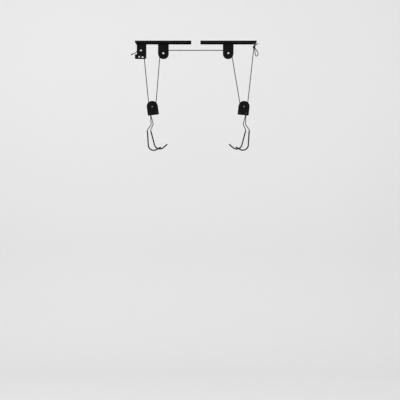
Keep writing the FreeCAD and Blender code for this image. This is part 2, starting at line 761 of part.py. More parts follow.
def make_grip(label, side, x, y, z, lean):
    """Dipped sleeve over the back, the J and the tip of a hook, closed round at the tip."""
    body = new_body(label)
    path = new_sketch(body, "XZ_Plane", label + "_path")
    draw_outline(path, (
        (side * kink_out, -D.grip_start, 0),
        (side * kink_out, bend_corner_z, D.hook_radius),
        (side * tip_out, tip_z, 0),
    ), closed=False)
    outside = new_sketch(body, "XY_Plane", label + "_outside", -D.grip_start)
    draw_circle(outside, side * kink_out, 0, D.grip_dia)
    pipe(body, "Additive", outside, path)
    dome = body.newObject("PartDesign::AdditiveSphere", label + "_dome")
    bind(dome, "Radius", D.grip_dia / 2)
    dome.AttachmentSupport = path.AttachmentSupport
    dome.MapMode = "FlatFace"
    bind(dome, "AttachmentOffset.Base.x", side * tip_out)
    bind(dome, "AttachmentOffset.Base.y", tip_z)
    bore = new_sketch(body, "XY_Plane", label + "_bore", -D.grip_start)
    draw_circle(bore, side * kink_out, 0, D.wire_dia + D.grip_fit * 2)
    pipe(body, "Subtractive", bore, path)
    place(body, x, y, z, lean, side)


def make_block(name, side, reach, tilt, swings):
    """Hook block: two cheeks, axle, sheave, spacer, hook pin and two hooks with their sleeves."""
    x = side * reach
    z = -D.block_drop
    make_cheek(f"{name}_block_front_cheek", side, FRONT, x, z, tilt)
    make_cheek(f"{name}_block_rear_cheek", side, REAR, x, z, tilt)
    make_axle(f"{name}_block_axle", x, z, D.block_head, D.block_head_height)
    make_sheave(f"{name}_block_sheave", x, z, large_wheel)
    pin_x, pin_z = swung(side, D.hook_pin_outward, D.hook_pin_drop, tilt)
    make_shouldered_pin(f"{name}_block_hook_pin", x + pin_x, z + pin_z)
    spacer_x, spacer_z = swung(side, -D.spacer_inward, D.spacer_drop, tilt)
    make_shouldered_pin(f"{name}_block_spacer", x + spacer_x, z + spacer_z)
    for place_name, face, swing in (("front", FRONT, swings[0]), ("rear", REAR, swings[1])):
        y = face * D.hook_spread / 2
        make_hook(f"{name}_{place_name}_hook", side, x + pin_x, y, z + pin_z, swing)
        make_grip(f"{name}_{place_name}_grip", side, x + pin_x, y, z + pin_z, swing)


def upright(x, z):
    """Point of the rope plane."""
    return Vector(as_size(x).value, 0, as_size(z).value)


def crossing_tangent(upper, upper_radius, lower, lower_radius, side):
    """Rope that leaves the upper sheave on one side and meets the lower one on the other side."""
    span = lower - upper
    share = (upper_radius + lower_radius) / span.Length
    along = span.normalize()
    across = Vector(along.z, 0, -along.x)
    for sign in (1, -1):
        normal = along * share + across * (sign * math.sqrt(1 - share * share))
        if normal.x * side > 0:
            return upper + normal * upper_radius, lower - normal * lower_radius


def point_tangent(point, centre, radius, side):
    """Where a rope from a point touches the given side of a sheave."""
    span = point - centre
    share = radius / span.Length
    along = span.normalize()
    across = Vector(along.z, 0, -along.x)
    for sign in (1, -1):
        normal = along * share + across * (sign * math.sqrt(1 - share * share))
        if normal.x * side > 0:
            return centre + normal * radius


def straight(first, last):
    return Part.LineSegment(first, last).toShape()


def around(centre, first, last, through):
    """Arc about a sheave, by way of the point in the given direction."""
    return Part.Arc(first, centre + through, last).toShape()


def loose_run(points):
    """Straight runs joined by tangent arcs, each as wide as its shorter run allows."""
    edges = []
    start = points[0]
    for i in range(1, len(points) - 1):
        back = points[i - 1] - points[i]
        ahead = points[i + 1] - points[i]
        reach = ROPE_ARC_SHARE * min(back.Length, ahead.Length)
        arrive = points[i] + back.normalize() * reach
        leave = points[i] + ahead.normalize() * reach
        half = back.getAngle(ahead) / 2
        radius = reach * math.tan(half)
        middle = (back + ahead).normalize()
        top = points[i] + middle * (radius / math.sin(half) - radius)
        edges.append(straight(start, arrive))
        edges.append(Part.Arc(arrive, top, leave).toShape())
        start = leave
    edges.append(straight(start, points[-1]))
    return edges


def rope_tube(edges):
    """Round rope along a chain of tangent edges."""
    spine = Part.Wire(edges)
    first = edges[0]
    begin = first.valueAt(first.FirstParameter)
    heading = first.tangentAt(first.FirstParameter)
    ring = Part.Wire(Part.makeCircle(D.rope_dia.value / 2, begin, heading))
    tube = spine.makePipeShell([ring], True, False)
    full = math.pi * D.rope_dia.value ** 2 / 4 * spine.Length
    if abs(tube.Volume / full - 1) > SAME_VOLUME:
        raise ValueError(f"rope stretch is not a clean tube: {tube.Volume} against {full}")
    return tube, spine.Length


def add_rope(label, *chains):
    """One rope node from one or more chains of edges."""
    tubes = [rope_tube(edges) for edges in chains]
    feature = doc.addObject("Part::Feature", label)
    feature.Label = label
    feature.Shape = tubes[0][0] if len(tubes) == 1 else Part.makeCompound([tube for tube, length in tubes])
    nodes.append(feature)
    curves = [edge.Curve for edges in chains for edge in edges]
    radii = [round(curve.Radius, 1) for curve in curves if isinstance(curve, Part.Circle)]
    print(label, "length", round(sum(length for tube, length in tubes), 1), "bend radii", radii)


def make_rope():
    """One rope: tie, right bight, span over both pulleys, left bight, lock sheave, free end."""
    pitch = D.sheave_pitch_dia.value / 2
    lock_pitch = D.lock_pitch_dia.value / 2
    down = Vector(0, 0, -pitch)
    up = Vector(0, 0, pitch)
    lock = upright(-lock_reach, -D.lock_drop)
    left_pulley = upright(-pulley_reach, -D.axle_drop)
    right_pulley = upright(pulley_reach, -D.axle_drop)
    left_block = upright(-D.left_block_reach, -D.block_drop)
    right_block = upright(D.right_block_reach, -D.block_drop)
    knot = upright(rail_end - D.knot_inset, -D.knot_drop)

    lock_top, lock_low = crossing_tangent(lock, lock_pitch, left_block, pitch, RIGHT)
    left_top, left_low = crossing_tangent(left_pulley, pitch, left_block, pitch, LEFT)
    right_top, right_low = crossing_tangent(right_pulley, pitch, right_block, pitch, RIGHT)
    half_knot = D.knot_length.value / 2
    anchor_top = knot + Vector(-D.fall_aside.value, 0, D.fall_overlap.value - half_knot)
    anchor_low = point_tangent(anchor_top, right_block, pitch, RIGHT)

    add_rope("rope_lock_fall", [straight(lock_top, lock_low)])
    add_rope("rope_left_fall", [straight(left_top, left_low)])
    add_rope("rope_right_fall", [straight(right_top, right_low)])
    add_rope("rope_anchor_fall", [straight(anchor_top, anchor_low)])
    add_rope("rope_left_bight", [around(left_block, lock_low, left_low, down)])
    add_rope("rope_right_bight", [around(right_block, right_low, anchor_low, down)])

    slant = math.sqrt(0.5)
    left_over = Vector(-pitch * slant, 0, pitch * slant)
    right_over = Vector(pitch * slant, 0, pitch * slant)
    add_rope("rope_span", [
        around(left_pulley, left_top, left_pulley + up, left_over),
        straight(left_pulley + up, right_pulley + up),
        around(right_pulley, right_pulley + up, right_top, right_over),
    ])

    leave = math.radians(D.tail_wrap.value)
    tail_start = lock + Vector(math.cos(leave), 0, math.sin(leave)) * lock_pitch
    heading = 90.0 - D.tail_wrap.value
    points = [tail_start]
    for run, lift in TAIL_RUNS:
        heading += lift
        step = Vector(-math.cos(math.radians(heading)), 0, math.sin(math.radians(heading)))
        points.append(points[-1] + step * run)
    add_rope("rope_tail", [around(lock, lock_top, tail_start, Vector(0, 0, lock_pitch))] + loose_run(points))
    make_end_sleeve(points[-1], step)

    tie_x = rail_end.value - D.tie_inset.value
    outside = D.rail_width.value / 2 + D.tie_clear.value
    hole_z = -D.tie_drop.value
    upright_end = hole_z - D.tie_upright.value
    leg_y = D.tie_leg_gap.value / 2
    leg_end = knot.z + half_knot - D.tie_overlap.value
    legs = [
        Vector(knot.x, -leg_y, leg_end),
        Vector(tie_x, -outside, upright_end),
        Vector(tie_x, -outside, hole_z),
        Vector(tie_x, outside, hole_z),
        Vector(tie_x, outside, upright_end),
        Vector(knot.x, leg_y, leg_end),
    ]
    add_rope("rope_tie_loop", loose_run(legs))
    make_knot(knot)

    bow = [knot + Vector(*offset) for offset in BOW]
    short_end = [knot + Vector(*offset) for offset in SHORT_END]
    add_rope("rope_bow", loose_run(bow), loose_run(short_end))


def make_end_sleeve(start, heading):
    """Sealed rope end: a short plug with a rounded rim, in line with the rope."""
    body = new_body("rope_end_sleeve")
    profile = new_sketch(body, "XZ_Plane", "end_sleeve_profile")
    radius = D.end_sleeve_dia / 2
    draw_outline(profile, (
        (0, 0, 0),
        (radius, 0, 0),
        (radius, D.end_sleeve_length, D.end_sleeve_round),
        (0, D.end_sleeve_length, 0),
    ))
    turn(body, profile)
    body.Placement = FreeCAD.Placement(start, FreeCAD.Rotation(Vector(0, 0, 1), heading))


def make_knot(centre):
    """Knot: three tight turns around a core."""
    core = doc.addObject("Part::Cylinder", "knot_core")
    bind(core, "Radius", D.knot_core / 2)
    bind(core, "Height", D.knot_length)
    place(core, centre.x, 0, -(D.knot_drop + D.knot_length / 2))
    pieces = [core]
    for level in (-1, 0, 1):
        ring = doc.addObject("Part::Torus", f"knot_turn_{level + 2}")
        bind(ring, "Radius1", D.knot_ring / 2)
        bind(ring, "Radius2", D.knot_turn / 2)
        place(ring, centre.x, 0, level * D.knot_pitch - D.knot_drop)
        pieces.append(ring)
    knot = doc.addObject("Part::MultiFuse", "rope_knot")
    knot.Label = "rope_knot"
    knot.Shapes = pieces
    nodes.append(knot)


def build():
    lock_web = lock_reach + lock_web_middle
    make_rail("lock_rail", LEFT, (pulley_reach, lock_web), False)
    make_rail("anchor_rail", RIGHT, (pulley_reach,), True)
    make_lock_hanger("lock_bracket")
    make_pulley_hanger("left_pulley_bracket", LEFT)
    make_pulley_hanger("right_pulley_bracket", RIGHT)
    make_hanger_rivets("bracket_rivets")
    make_axle("lock_axle", -lock_reach, -D.lock_drop, D.pulley_head, D.pulley_head_height)
    make_axle("left_pulley_axle", -pulley_reach, -D.axle_drop, D.pulley_head, D.pulley_head_height)
    make_axle("right_pulley_axle", pulley_reach, -D.axle_drop, D.pulley_head, D.pulley_head_height)
    make_sheave("lock_sheave", -lock_reach, -D.lock_drop, lock_wheel)
    make_sheave("left_pulley_sheave", -pulley_reach, -D.axle_drop, large_wheel)
    make_sheave("right_pulley_sheave", pulley_reach, -D.axle_drop, large_wheel)
    make_shouldered_pin("lock_anvil", D.anvil_inward - lock_reach, -(D.lock_drop + D.anvil_drop),
                        D.anvil_dia, D.anvil_tenon, D.anvil_head)
    make_roller("lock_roller")
    loaded = D.loaded_swing
    plumb = D.plumb_swing
    make_block("left", LEFT, D.left_block_reach, D.left_block_tilt, (loaded, plumb))
    make_block("right", RIGHT, D.right_block_reach, D.right_block_tilt, (plumb, loaded))
    make_rope()
    doc.recompute()


def check_and_write():
    """Stop on any faulty object, then write one file for each sub-part."""
    for item in doc.Objects:
        if "Invalid" in item.State or "Error" in item.State:
            raise ValueError(f"{item.Label} is in state {item.State}")
    for node in nodes:
        if node.Shape.isNull() or not node.Shape.isValid():
            raise ValueError(f"{node.Label} has no valid shape")
    os.makedirs("parts", exist_ok=True)
    for node in nodes:
        node.Shape.exportStep(f"parts/{node.Label}.step")
        print(node.Label, len(node.Shape.Solids), round(node.Shape.Volume, 1))


build()
check_and_write()
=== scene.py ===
import math

import bpy
import numpy as np
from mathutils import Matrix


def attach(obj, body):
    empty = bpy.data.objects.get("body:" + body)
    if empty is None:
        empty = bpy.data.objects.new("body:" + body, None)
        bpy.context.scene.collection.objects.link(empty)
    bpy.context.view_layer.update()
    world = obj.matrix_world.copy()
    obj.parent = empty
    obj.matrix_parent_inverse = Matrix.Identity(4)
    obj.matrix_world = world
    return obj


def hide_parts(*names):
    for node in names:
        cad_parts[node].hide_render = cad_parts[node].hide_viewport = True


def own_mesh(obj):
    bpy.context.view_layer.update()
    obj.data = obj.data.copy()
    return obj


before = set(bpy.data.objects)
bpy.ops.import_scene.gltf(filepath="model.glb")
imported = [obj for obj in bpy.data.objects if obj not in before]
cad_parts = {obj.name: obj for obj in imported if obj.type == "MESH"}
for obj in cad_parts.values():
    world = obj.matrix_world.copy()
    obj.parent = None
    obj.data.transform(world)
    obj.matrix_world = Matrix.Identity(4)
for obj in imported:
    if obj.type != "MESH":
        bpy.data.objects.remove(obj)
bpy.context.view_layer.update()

bl_info = {
    "name": "Ceiling Hoist Dressing",
    "version": (1, 0, 0),
    "blender": (4, 5, 0),
    "location": "View3D > Sidebar > Hoist",
    "description": "Rope, finishes and studio for a ceiling hoist with two hook blocks",
    "category": "Object",
}

# Places and pitches repeated from the solid model, in metres. A pitch is the rope's radius about a sheave's
# axis.
SHEAVE_PITCH = 0.0210
LOCK_PITCH = 0.0155
LOCK_SHEAVE = (-0.3420, 0.0, -0.0595)
LEFT_PULLEY = (-0.2025, 0.0, -0.0770)
RIGHT_PULLEY = (0.2025, 0.0, -0.0770)
LEFT_BLOCK = (-0.2715, 0.0, -0.4095)
RIGHT_BLOCK = (0.3010, 0.0, -0.4095)
LOCK_ROLLER = (-0.3440, 0.0, -0.0976)
KNOT = (0.3645, 0.0, -0.0365)
FRAME_BODY = "ceiling_frame"

# Sides of the object, as signs of X.
LEFT = -1
RIGHT = 1

# Directions that a ring of the rope's surface starts from.
ALONG_RAIL = (1, 0, 0)
ACROSS_RAIL = (0, 1, 0)
UP = (0, 0, 1)

# Points of the rope round each sheave, in X and Z from the sheave's axis, in metres.
LEFT_BIGHT = (
    (-0.0203, -0.0084),
    (-0.0121, -0.0183),
    (0.0002, -0.0220),
    (0.0124, -0.0181),
    (0.0204, -0.0081),
)
RIGHT_BIGHT = (
    (-0.0197, -0.0096),
    (-0.0113, -0.0187),
    (0.0006, -0.0219),
    (0.0124, -0.0180),
    (0.0202, -0.0084),
)
LEFT_OVER = ((-0.0205, 0.0070), (-0.0147, 0.0159), (-0.0053, 0.0210), (0.0300, 0.0210))
RIGHT_OVER = ((-0.0300, 0.0210), (0.0050, 0.0210), (0.0140, 0.0165), (0.0199, 0.0084))
LOCK_OVER = ((0.0150, 0.0061), (0.0092, 0.0133), (0.0005, 0.0162), (-0.0084, 0.0138))
TAIL = (
    (-0.0212, 0.0016),
    (-0.0296, -0.0071),
    (-0.0371, -0.0145),
    (-0.0455, -0.0181),
    (-0.0535, -0.0205),
)

# Upper end of the anchor fall: on the solid's own line, but further up, so that it ends inside the knot.
KNOT_FOOT = (0.3625, 0.0, -0.0415)

# Loop of the tie, through the holes of the rail. Two points inside the rail keep its level run straight,
# and its legs end inside the knot, lower than the solid's.
TIE_X = 0.3670
TIE_Y = 0.0273
TIE_Z = -0.0080
TIE_INSIDE_Y = 0.0190
TIE_UPRIGHT = 0.0120
LEG_Y = 0.0030
LEG_END = KNOT[2] + 0.0036
TIE_LOOP = (
    (KNOT[0], -LEG_Y, LEG_END),
    (TIE_X, -TIE_Y, TIE_Z - TIE_UPRIGHT),
    (TIE_X, -TIE_Y, TIE_Z),
    (TIE_X, -TIE_INSIDE_Y, TIE_Z),
    (TIE_X, TIE_INSIDE_Y, TIE_Z),
    (TIE_X, TIE_Y, TIE_Z),
    (TIE_X, TIE_Y, TIE_Z - TIE_UPRIGHT),
    (KNOT[0], LEG_Y, LEG_END),
)

# Turns of the knot, about an upright line through its middle.
KNOT_TURNS = 2.75
KNOT_TURN_POINTS = 12
KNOT_RADIUS = 0.0053
KNOT_HIGH = 0.0064
KNOT_LOW = -0.0062

# Points of the tie's other stretches, from the middle of the knot. The bow's last point is inside the
# knot, beyond the solid's end.
BOW = (
    (0.0042, -0.0034, -0.0064),
    (0.0100, -0.0044, -0.0145),
    (0.0185, -0.0050, -0.0250),
    (0.0250, -0.0042, -0.0390),
    (0.0235, -0.0019, -0.0500),
    (0.0176, 0.0005, -0.0554),
    (0.0103, 0.0027, -0.0537),
    (0.0072, 0.0042, -0.0420),
    (0.0059, 0.0046, -0.0295),
    (0.0049, 0.0040, -0.0175),
    (0.0036, 0.0032, -0.0066),
    (0.0030, 0.0028, -0.0020),
)
SHORT_END = (
    (0.0025, 0.0, 0.0020),
    (0.0065, 0.0, 0.0086),
    (0.0116, 0.0, 0.0146),
    (0.0176, 0.0, 0.0196),
    (0.0244, 0.0, 0.0236),
)
KNOT_CORE = (
    (-0.0024, 0.0, -0.0084),
    (-0.0012, 0.0, -0.0040),
    (0.0, 0.0, 0.0020),
    (0.0, 0.0, 0.0072),
)

# Rope diameters from a sheave to the point that keeps a fall straight.
STRAIGHT_DIAMETERS = 6

# How finely the rope's line is read: steps between control points, fewest steps of a stretch, and distance in
# metres under which two points are one.
LINE_STEPS = 24
LEAST_STEPS = 8
SAME_POINT = 1e-9

# Lock roller, in metres from its middle: a barrel with a rounded flange outside each plate, as in the solid
# model. The band is the finely divided stretch of the barrel, and the knurl ends a little inside it.
BARREL_RADIUS = 0.0054
FLANGE_RADIUS = 0.0063
FLANGE_ROUND = 0.0006
FLANGE_INNER_Y = 0.0098
FLANGE_OUTER_Y = 0.0110
END_FACE_RADIUS = 0.0004
ROUND_STEPS = 6
BAND_Y = 0.0075
BAND_ROWS = 61
KNURL_Y = 0.0072
KNURL_TEETH = 24
ROLLER_COLUMNS = 144

# Studio, in metres; a softbox has a name, a place, a width and a power in watts.
FLOOR_Z = -2.35
WALL_Y = 1.9
WALL_TOP_Z = 4.5
FRONT_Y = -9.0
HALF_WIDTH = 9.0
COVE_RADIUS = 0.9
COVE_STEPS = 24
WORLD_STRENGTH = 0.58
LIGHT_AIM = (0.0, 0.0, -0.35)
SOFTBOXES = (
    ("key_softbox", (-3.2, -1.9, 0.9), 1.8, 62.0),
    ("fill_softbox", (3.3, -2.1, 0.5), 1.8, 46.0),
    ("top_softbox", (0.2, -1.9, 2.3), 2.0, 20.0),
    ("front_softbox", (0.0, -4.5, 0.75), 2.2, 11.0),
)

# Camera, fitted to the rails, axles and blocks: it looks level along Y. Lens and sensor are in millimetres.
CAMERA_X = 0.02625
CAMERA_Z = -0.9916
CAMERA_LENS = 55.0
SENSOR_WIDTH = 36.0
FARTHEST_VIEW = 50.0

# Solids that keep their own shape and get a finish.
RAILS = ("lock_rail", "anchor_rail")
HANGERS = ("lock_bracket", "left_pulley_bracket", "right_pulley_bracket")
BLOCK_FACES = tuple((side, face) for side in ("left", "right") for face in ("front", "rear"))
CHEEKS = tuple(f"{side}_block_{face}_cheek" for side, face in BLOCK_FACES)
HOOKS = tuple(f"{side}_{face}_hook" for side, face in BLOCK_FACES)
GRIPS = tuple(f"{side}_{face}_grip" for side, face in BLOCK_FACES)
PINS = (
    "lock_anvil",
    "bracket_rivets",
    "left_block_hook_pin",
    "left_block_spacer",
    "right_block_hook_pin",
    "right_block_spacer",
)
FIXED_AXLES = {
    "lock_axle": LOCK_SHEAVE,
    "left_pulley_axle": LEFT_PULLEY,
    "right_pulley_axle": RIGHT_PULLEY,
}
BLOCK_AXLES = {
    "left_block_axle": LEFT_BLOCK,
    "right_block_axle": RIGHT_BLOCK,
}
SHEAVES = {
    "lock_sheave": LOCK_SHEAVE,
    "left_pulley_sheave": LEFT_PULLEY,
    "right_pulley_sheave": RIGHT_PULLEY,
    "left_block_sheave": LEFT_BLOCK,
    "right_block_sheave": RIGHT_BLOCK,
}

# Share of the steel that shows on rubbed edges, and roughness of the axle heads.
RAIL_WEAR = 0.55
HANGER_WEAR = 0.45
CHEEK_WEAR = 0.6
BRIGHT_ROUGHNESS = 0.24
DULL_ROUGHNESS = 0.34


class HoistSizes(bpy.types.PropertyGroup):
    """Sizes of the rope and the small surface details"""

    rope_diameter: bpy.props.FloatProperty(
        name="Rope diameter", description="Thickness of the rope",
        default=0.005, unit="LENGTH")
    braid_depth: bpy.props.FloatProperty(
        name="Braid depth", description="Depth of the grooves between the strands",
        default=0.00032, unit="LENGTH")
    braid_lay: bpy.props.FloatProperty(
        name="Braid lay", description="Length in which a strand goes once round",
        default=0.026, unit="LENGTH")
    braid_strands: bpy.props.IntProperty(
        name="Strands", description="Strands in each direction of the braid",
        default=8)
    ring_points: bpy.props.IntProperty(
        name="Points round the rope", description="Points in one ring of the rope's surface",
        default=40)
    ring_step: bpy.props.FloatProperty(
        name="Ring step", description="Distance between rings along the rope",
        default=0.0007, unit="LENGTH")
    knurl_depth: bpy.props.FloatProperty(
        name="Knurl depth", description="Depth of the diamond knurl on the lock roller",
        default=0.0003, unit="LENGTH")
    camera_distance: bpy.props.FloatProperty(
        name="Camera distance", description="Camera to the plane of the rope",
        default=3.82, unit="LENGTH")


class HoistColours(bpy.types.PropertyGroup):
    """Colours of the finishes"""

    powder: bpy.props.FloatVectorProperty(
        name="Powder coat", description="Black coat of rails and plates",
        default=(0.0024, 0.0024, 0.0026), subtype="COLOR", min=0, max=1)
    bare_steel: bpy.props.FloatVectorProperty(
        name="Bare steel", description="Steel that shows where the coat is rubbed",
        default=(0.16, 0.16, 0.165), subtype="COLOR", min=0, max=1)
    oxide: bpy.props.FloatVectorProperty(
        name="Black oxide", description="Blackened pins and rivets",
        default=(0.006, 0.006, 0.0065), subtype="COLOR", min=0, max=1)
    oxide_mottle: bpy.props.FloatVectorProperty(
        name="Oxide mottle", description="Lighter patches of the pins and rivets",
        default=(0.017, 0.0165, 0.016), subtype="COLOR", min=0, max=1)
    bright_zinc: bpy.props.FloatVectorProperty(
        name="Bright zinc", description="Axle heads of the fixed sheaves",
        default=(0.80, 0.80, 0.81), subtype="COLOR", min=0, max=1)
    dull_zinc: bpy.props.FloatVectorProperty(
        name="Dull zinc", description="Axle heads of the blocks",
        default=(0.30, 0.30, 0.305), subtype="COLOR", min=0, max=1)
    wire: bpy.props.FloatVectorProperty(
        name="Hook wire", description="Plated wire of the hooks",
        default=(0.022, 0.022, 0.023), subtype="COLOR", min=0, max=1)
    vinyl: bpy.props.FloatVectorProperty(
        name="Hook sleeve", description="Dipped sleeve of the hooks",
        default=(0.0024, 0.0024, 0.0026), subtype="COLOR", min=0, max=1)
    nylon: bpy.props.FloatVectorProperty(
        name="Sheaves", description="Moulded sheaves",
        default=(0.0060, 0.0060, 0.0064), subtype="COLOR", min=0, max=1)
    # Painted shade: the darker colour given to the knurl's valleys.
    knurl_valley_painted_shade: bpy.props.FloatVectorProperty(
        name="Knurl valleys", description="Grooves of the lock roller's knurl",
        default=(0.008, 0.008, 0.0084), subtype="COLOR", min=0, max=1)
    knurl_tip: bpy.props.FloatVectorProperty(
        name="Knurl tips", description="Tips of the lock roller's knurl",
        default=(0.055, 0.055, 0.057), subtype="COLOR", min=0, max=1)
    roller_oil: bpy.props.FloatVectorProperty(
        name="Roller oil", description="Oily patches of the lock roller",
        default=(0.014, 0.013, 0.012), subtype="COLOR", min=0, max=1)
    rope: bpy.props.FloatVectorProperty(
        name="Rope", description="Upper side of the rope's strands",
        default=(0.0120, 0.0120, 0.0126), subtype="COLOR", min=0, max=1)
    lint: bpy.props.FloatVectorProperty(
        name="Lint", description="Pale flecks on the rope",
        default=(0.11, 0.11, 0.112), subtype="COLOR", min=0, max=1)
    seal: bpy.props.FloatVectorProperty(
        name="Rope seal", description="Melted end of the rope",
        default=(0.004, 0.004, 0.0045), subtype="COLOR", min=0, max=1)
    seal_patch: bpy.props.FloatVectorProperty(
        name="Rope seal patches", description="Lighter patches of the melted end",
        default=(0.014, 0.013, 0.012), subtype="COLOR", min=0, max=1)
    backdrop: bpy.props.FloatVectorProperty(
        name="Backdrop", description="Floor and wall of the studio",
        default=(0.81, 0.81, 0.81), subtype="COLOR", min=0, max=1)


def sizes():
    return bpy.context.scene.hoist_sizes


def colours():
    return bpy.context.scene.hoist_colours


# Shader helpers

def add_node(tree, kind, links=None, values=None, **settings):
    """A node with its settings, its fixed inputs by name and its linked inputs by name."""
    node = tree.nodes.new(kind)
    for key, value in settings.items():
        setattr(node, key, value)
    for key, value in (values or {}).items():
        node.inputs[key].default_value = value
    for key, socket in (links or {}).items():
        tree.links.new(socket, node.inputs[key])
    return node


def maths(tree, operation, first, second=None):
    """One arithmetic node; each operand is a socket or a number."""
    node = tree.nodes.new("ShaderNodeMath")
    node.operation = operation
    for index, operand in enumerate((first, second)):
        if operand is None:
            continue
        if isinstance(operand, (int, float)):
            node.inputs[index].default_value = operand
        else:
            tree.links.new(operand, node.inputs[index])
    return node.outputs[0]


def noise(tree, place, scale, detail, roughness=0.5):
    """A noise texture's value."""
    node = add_node(tree, "ShaderNodeTexNoise", {"Vector": place}, {"Detail": detail, "Roughness": roughness})
    if isinstance(scale, bpy.types.NodeSocket):
        tree.links.new(scale, node.inputs["Scale"])
    else:
        node.inputs["Scale"].default_value = scale
    return node.outputs[0]


def spread(tree, socket, low=0.0, high=1.0, out_low=0.0, out_high=1.0):
    """Maps a value range to another one, clamped."""
    node = add_node(tree, "ShaderNodeMapRange", {"Value": socket}, {
        "From Min": low, "From Max": high, "To Min": out_low, "To Max": out_high})
    return node.outputs["Result"]


def shade(colour, *factors):
    """A colour made lighter or darker, by one factor or by one for each of red, green and blue."""
    if len(factors) == 1:
        factors = factors * 3
    return tuple(c * factor for c, factor in zip(colour, factors))


def mix_colour(tree, factor, first, second):
    """Mixes two colours, each a socket or an RGB triple."""
    node = tree.nodes.new("ShaderNodeMix")
    node.data_type = "RGBA"
    tree.links.new(factor, node.inputs["Factor"])
    for name, colour in (("A", first), ("B", second)):
        socket = [s for s in node.inputs if s.name == name and s.type == "RGBA"][0]
        if isinstance(colour, bpy.types.NodeSocket):
            tree.links.new(colour, socket)
        else:
            socket.default_value = (*colour, 1.0)
    return [s for s in node.outputs if s.type == "RGBA"][0]


def new_group(name, inputs, outputs):
    """An empty shader group with a Vector input, float inputs with their defaults, and float outputs."""
    group = bpy.data.node_groups.new(name, "ShaderNodeTree")
    group.interface.new_socket("Vector", in_out="INPUT", socket_type="NodeSocketVector")
    for label, default in inputs.items():
        socket = group.interface.new_socket(label, in_out="INPUT", socket_type="NodeSocketFloat")
        socket.default_value = default
    for label in outputs:
        group.interface.new_socket(label, in_out="OUTPUT", socket_type="NodeSocketFloat")
    return group, group.nodes.new("NodeGroupInput"), group.nodes.new("NodeGroupOutput")


def use_group(tree, group, place, **values):
    """A node that uses a shader group at the given coordinates."""
    return add_node(tree, "ShaderNodeGroup", {"Vector": place}, values, node_tree=group)


def grain_group():
    """Two noises of different size: a fine grain as height, and a broad cloud for tone."""
    found = bpy.data.node_groups.get("surface_grain")
    if found:
        return found
    group, given, result = new_group("surface_grain", {"Grain": 900.0, "Cloud": 30.0}, ("Height", "Tone"))
    place = given.outputs["Vector"]
    fine = noise(group, place, given.outputs["Grain"], detail=3.0, roughness=0.55)
    broad = noise(group, place, given.outputs["Cloud"], detail=5.0, roughness=0.6)
    group.links.new(fine, result.inputs["Height"])
    group.links.new(spread(group, broad, low=0.3, high=0.7), result.inputs["Tone"])
    return group


def edge_group():
    """Rubbed edges: how far a rounded normal turns from the true one, broken up by noise."""
    found = bpy.data.node_groups.get("rubbed_edges")
    if found:
        return found
    group, given, result = new_group("rubbed_edges", {"Amount": 1.0}, ("Mask",))
    bevel = add_node(group, "ShaderNodeBevel", values={"Radius": 0.0011}, samples=4)
    plain = group.nodes.new("ShaderNodeNewGeometry")
    dot = add_node(group, "ShaderNodeVectorMath", operation="DOT_PRODUCT")
    group.links.new(bevel.outputs[0], dot.inputs[0])
    group.links.new(plain.outputs["Normal"], dot.inputs[1])
    turn = maths(group, "SUBTRACT", 1.0, dot.outputs["Value"])
    chips = noise(group, given.outputs["Vector"], scale=260.0, detail=4.0, roughness=0.65)
    edge = spread(group, turn, low=0.02, high=0.22)
    worn = maths(group, "MULTIPLY", edge, spread(group, chips, low=0.47, high=0.62))
    group.links.new(maths(group, "MULTIPLY", worn, given.outputs["Amount"]), result.inputs["Mask"])
    return group


def turned_group():
    """Fine turning marks: a sine of the distance from an axis along Y, which wanders a little by noise."""
    found = bpy.data.node_groups.get("turned_marks")
    if found:
        return found
    group, given, result = new_group("turned_marks", {"Lines": 9000.0}, ("Ripple",))
    parts = add_node(group, "ShaderNodeSeparateXYZ", {"Vector": given.outputs["Vector"]})
    square_x = maths(group, "MULTIPLY", parts.outputs["X"], parts.outputs["X"])
    square_z = maths(group, "MULTIPLY", parts.outputs["Z"], parts.outputs["Z"])
    radius = maths(group, "SQRT", maths(group, "ADD", square_x, square_z))
    lines = maths(group, "MULTIPLY", radius, given.outputs["Lines"])
    wander = maths(group, "MULTIPLY", noise(group, given.outputs["Vector"], scale=90.0, detail=2.0), 4.0)
    wave = maths(group, "SINE", maths(group, "ADD", lines, wander))
    group.links.new(spread(group, wave, low=-1.0, high=1.0), result.inputs["Ripple"])
    return group


def new_material(name):
    """A material with a Principled shader and its object coordinates."""
    material = bpy.data.materials.new(name)
    material.use_nodes = True
    tree = material.node_tree
    tree.nodes.clear()
    surface = tree.nodes.new("ShaderNodeBsdfPrincipled")
    output = tree.nodes.new("ShaderNodeOutputMaterial")
    tree.links.new(surface.outputs[0], output.inputs["Surface"])
    place = tree.nodes.new("ShaderNodeTexCoord").outputs["Object"]
    return material, tree, surface, place


def set_colour(tree, surface, colour):
    tree.links.new(colour, surface.inputs["Base Color"])


def vary_roughness(tree, surface, source, smooth, rough, low=0.0, high=1.0):
    """Roughness from smooth to rough as the source goes from low to high."""
    tree.links.new(spread(tree, source, low, high, smooth, rough), surface.inputs["Roughness"])


def add_bump(tree, surface, height, strength, distance):
    bump = add_node(tree, "ShaderNodeBump", {"Height": height}, {"Strength": strength, "Distance": distance})
    tree.links.new(bump.outputs["Normal"], surface.inputs["Normal"])


def centred(tree, place, centre):
    """Object coordinates counted from a sheave's axis."""
    mapping = add_node(tree, "ShaderNodeMapping", {"Vector": place}, {"Location": tuple(-c for c in centre)})
    return mapping.outputs["Vector"]


# Materials

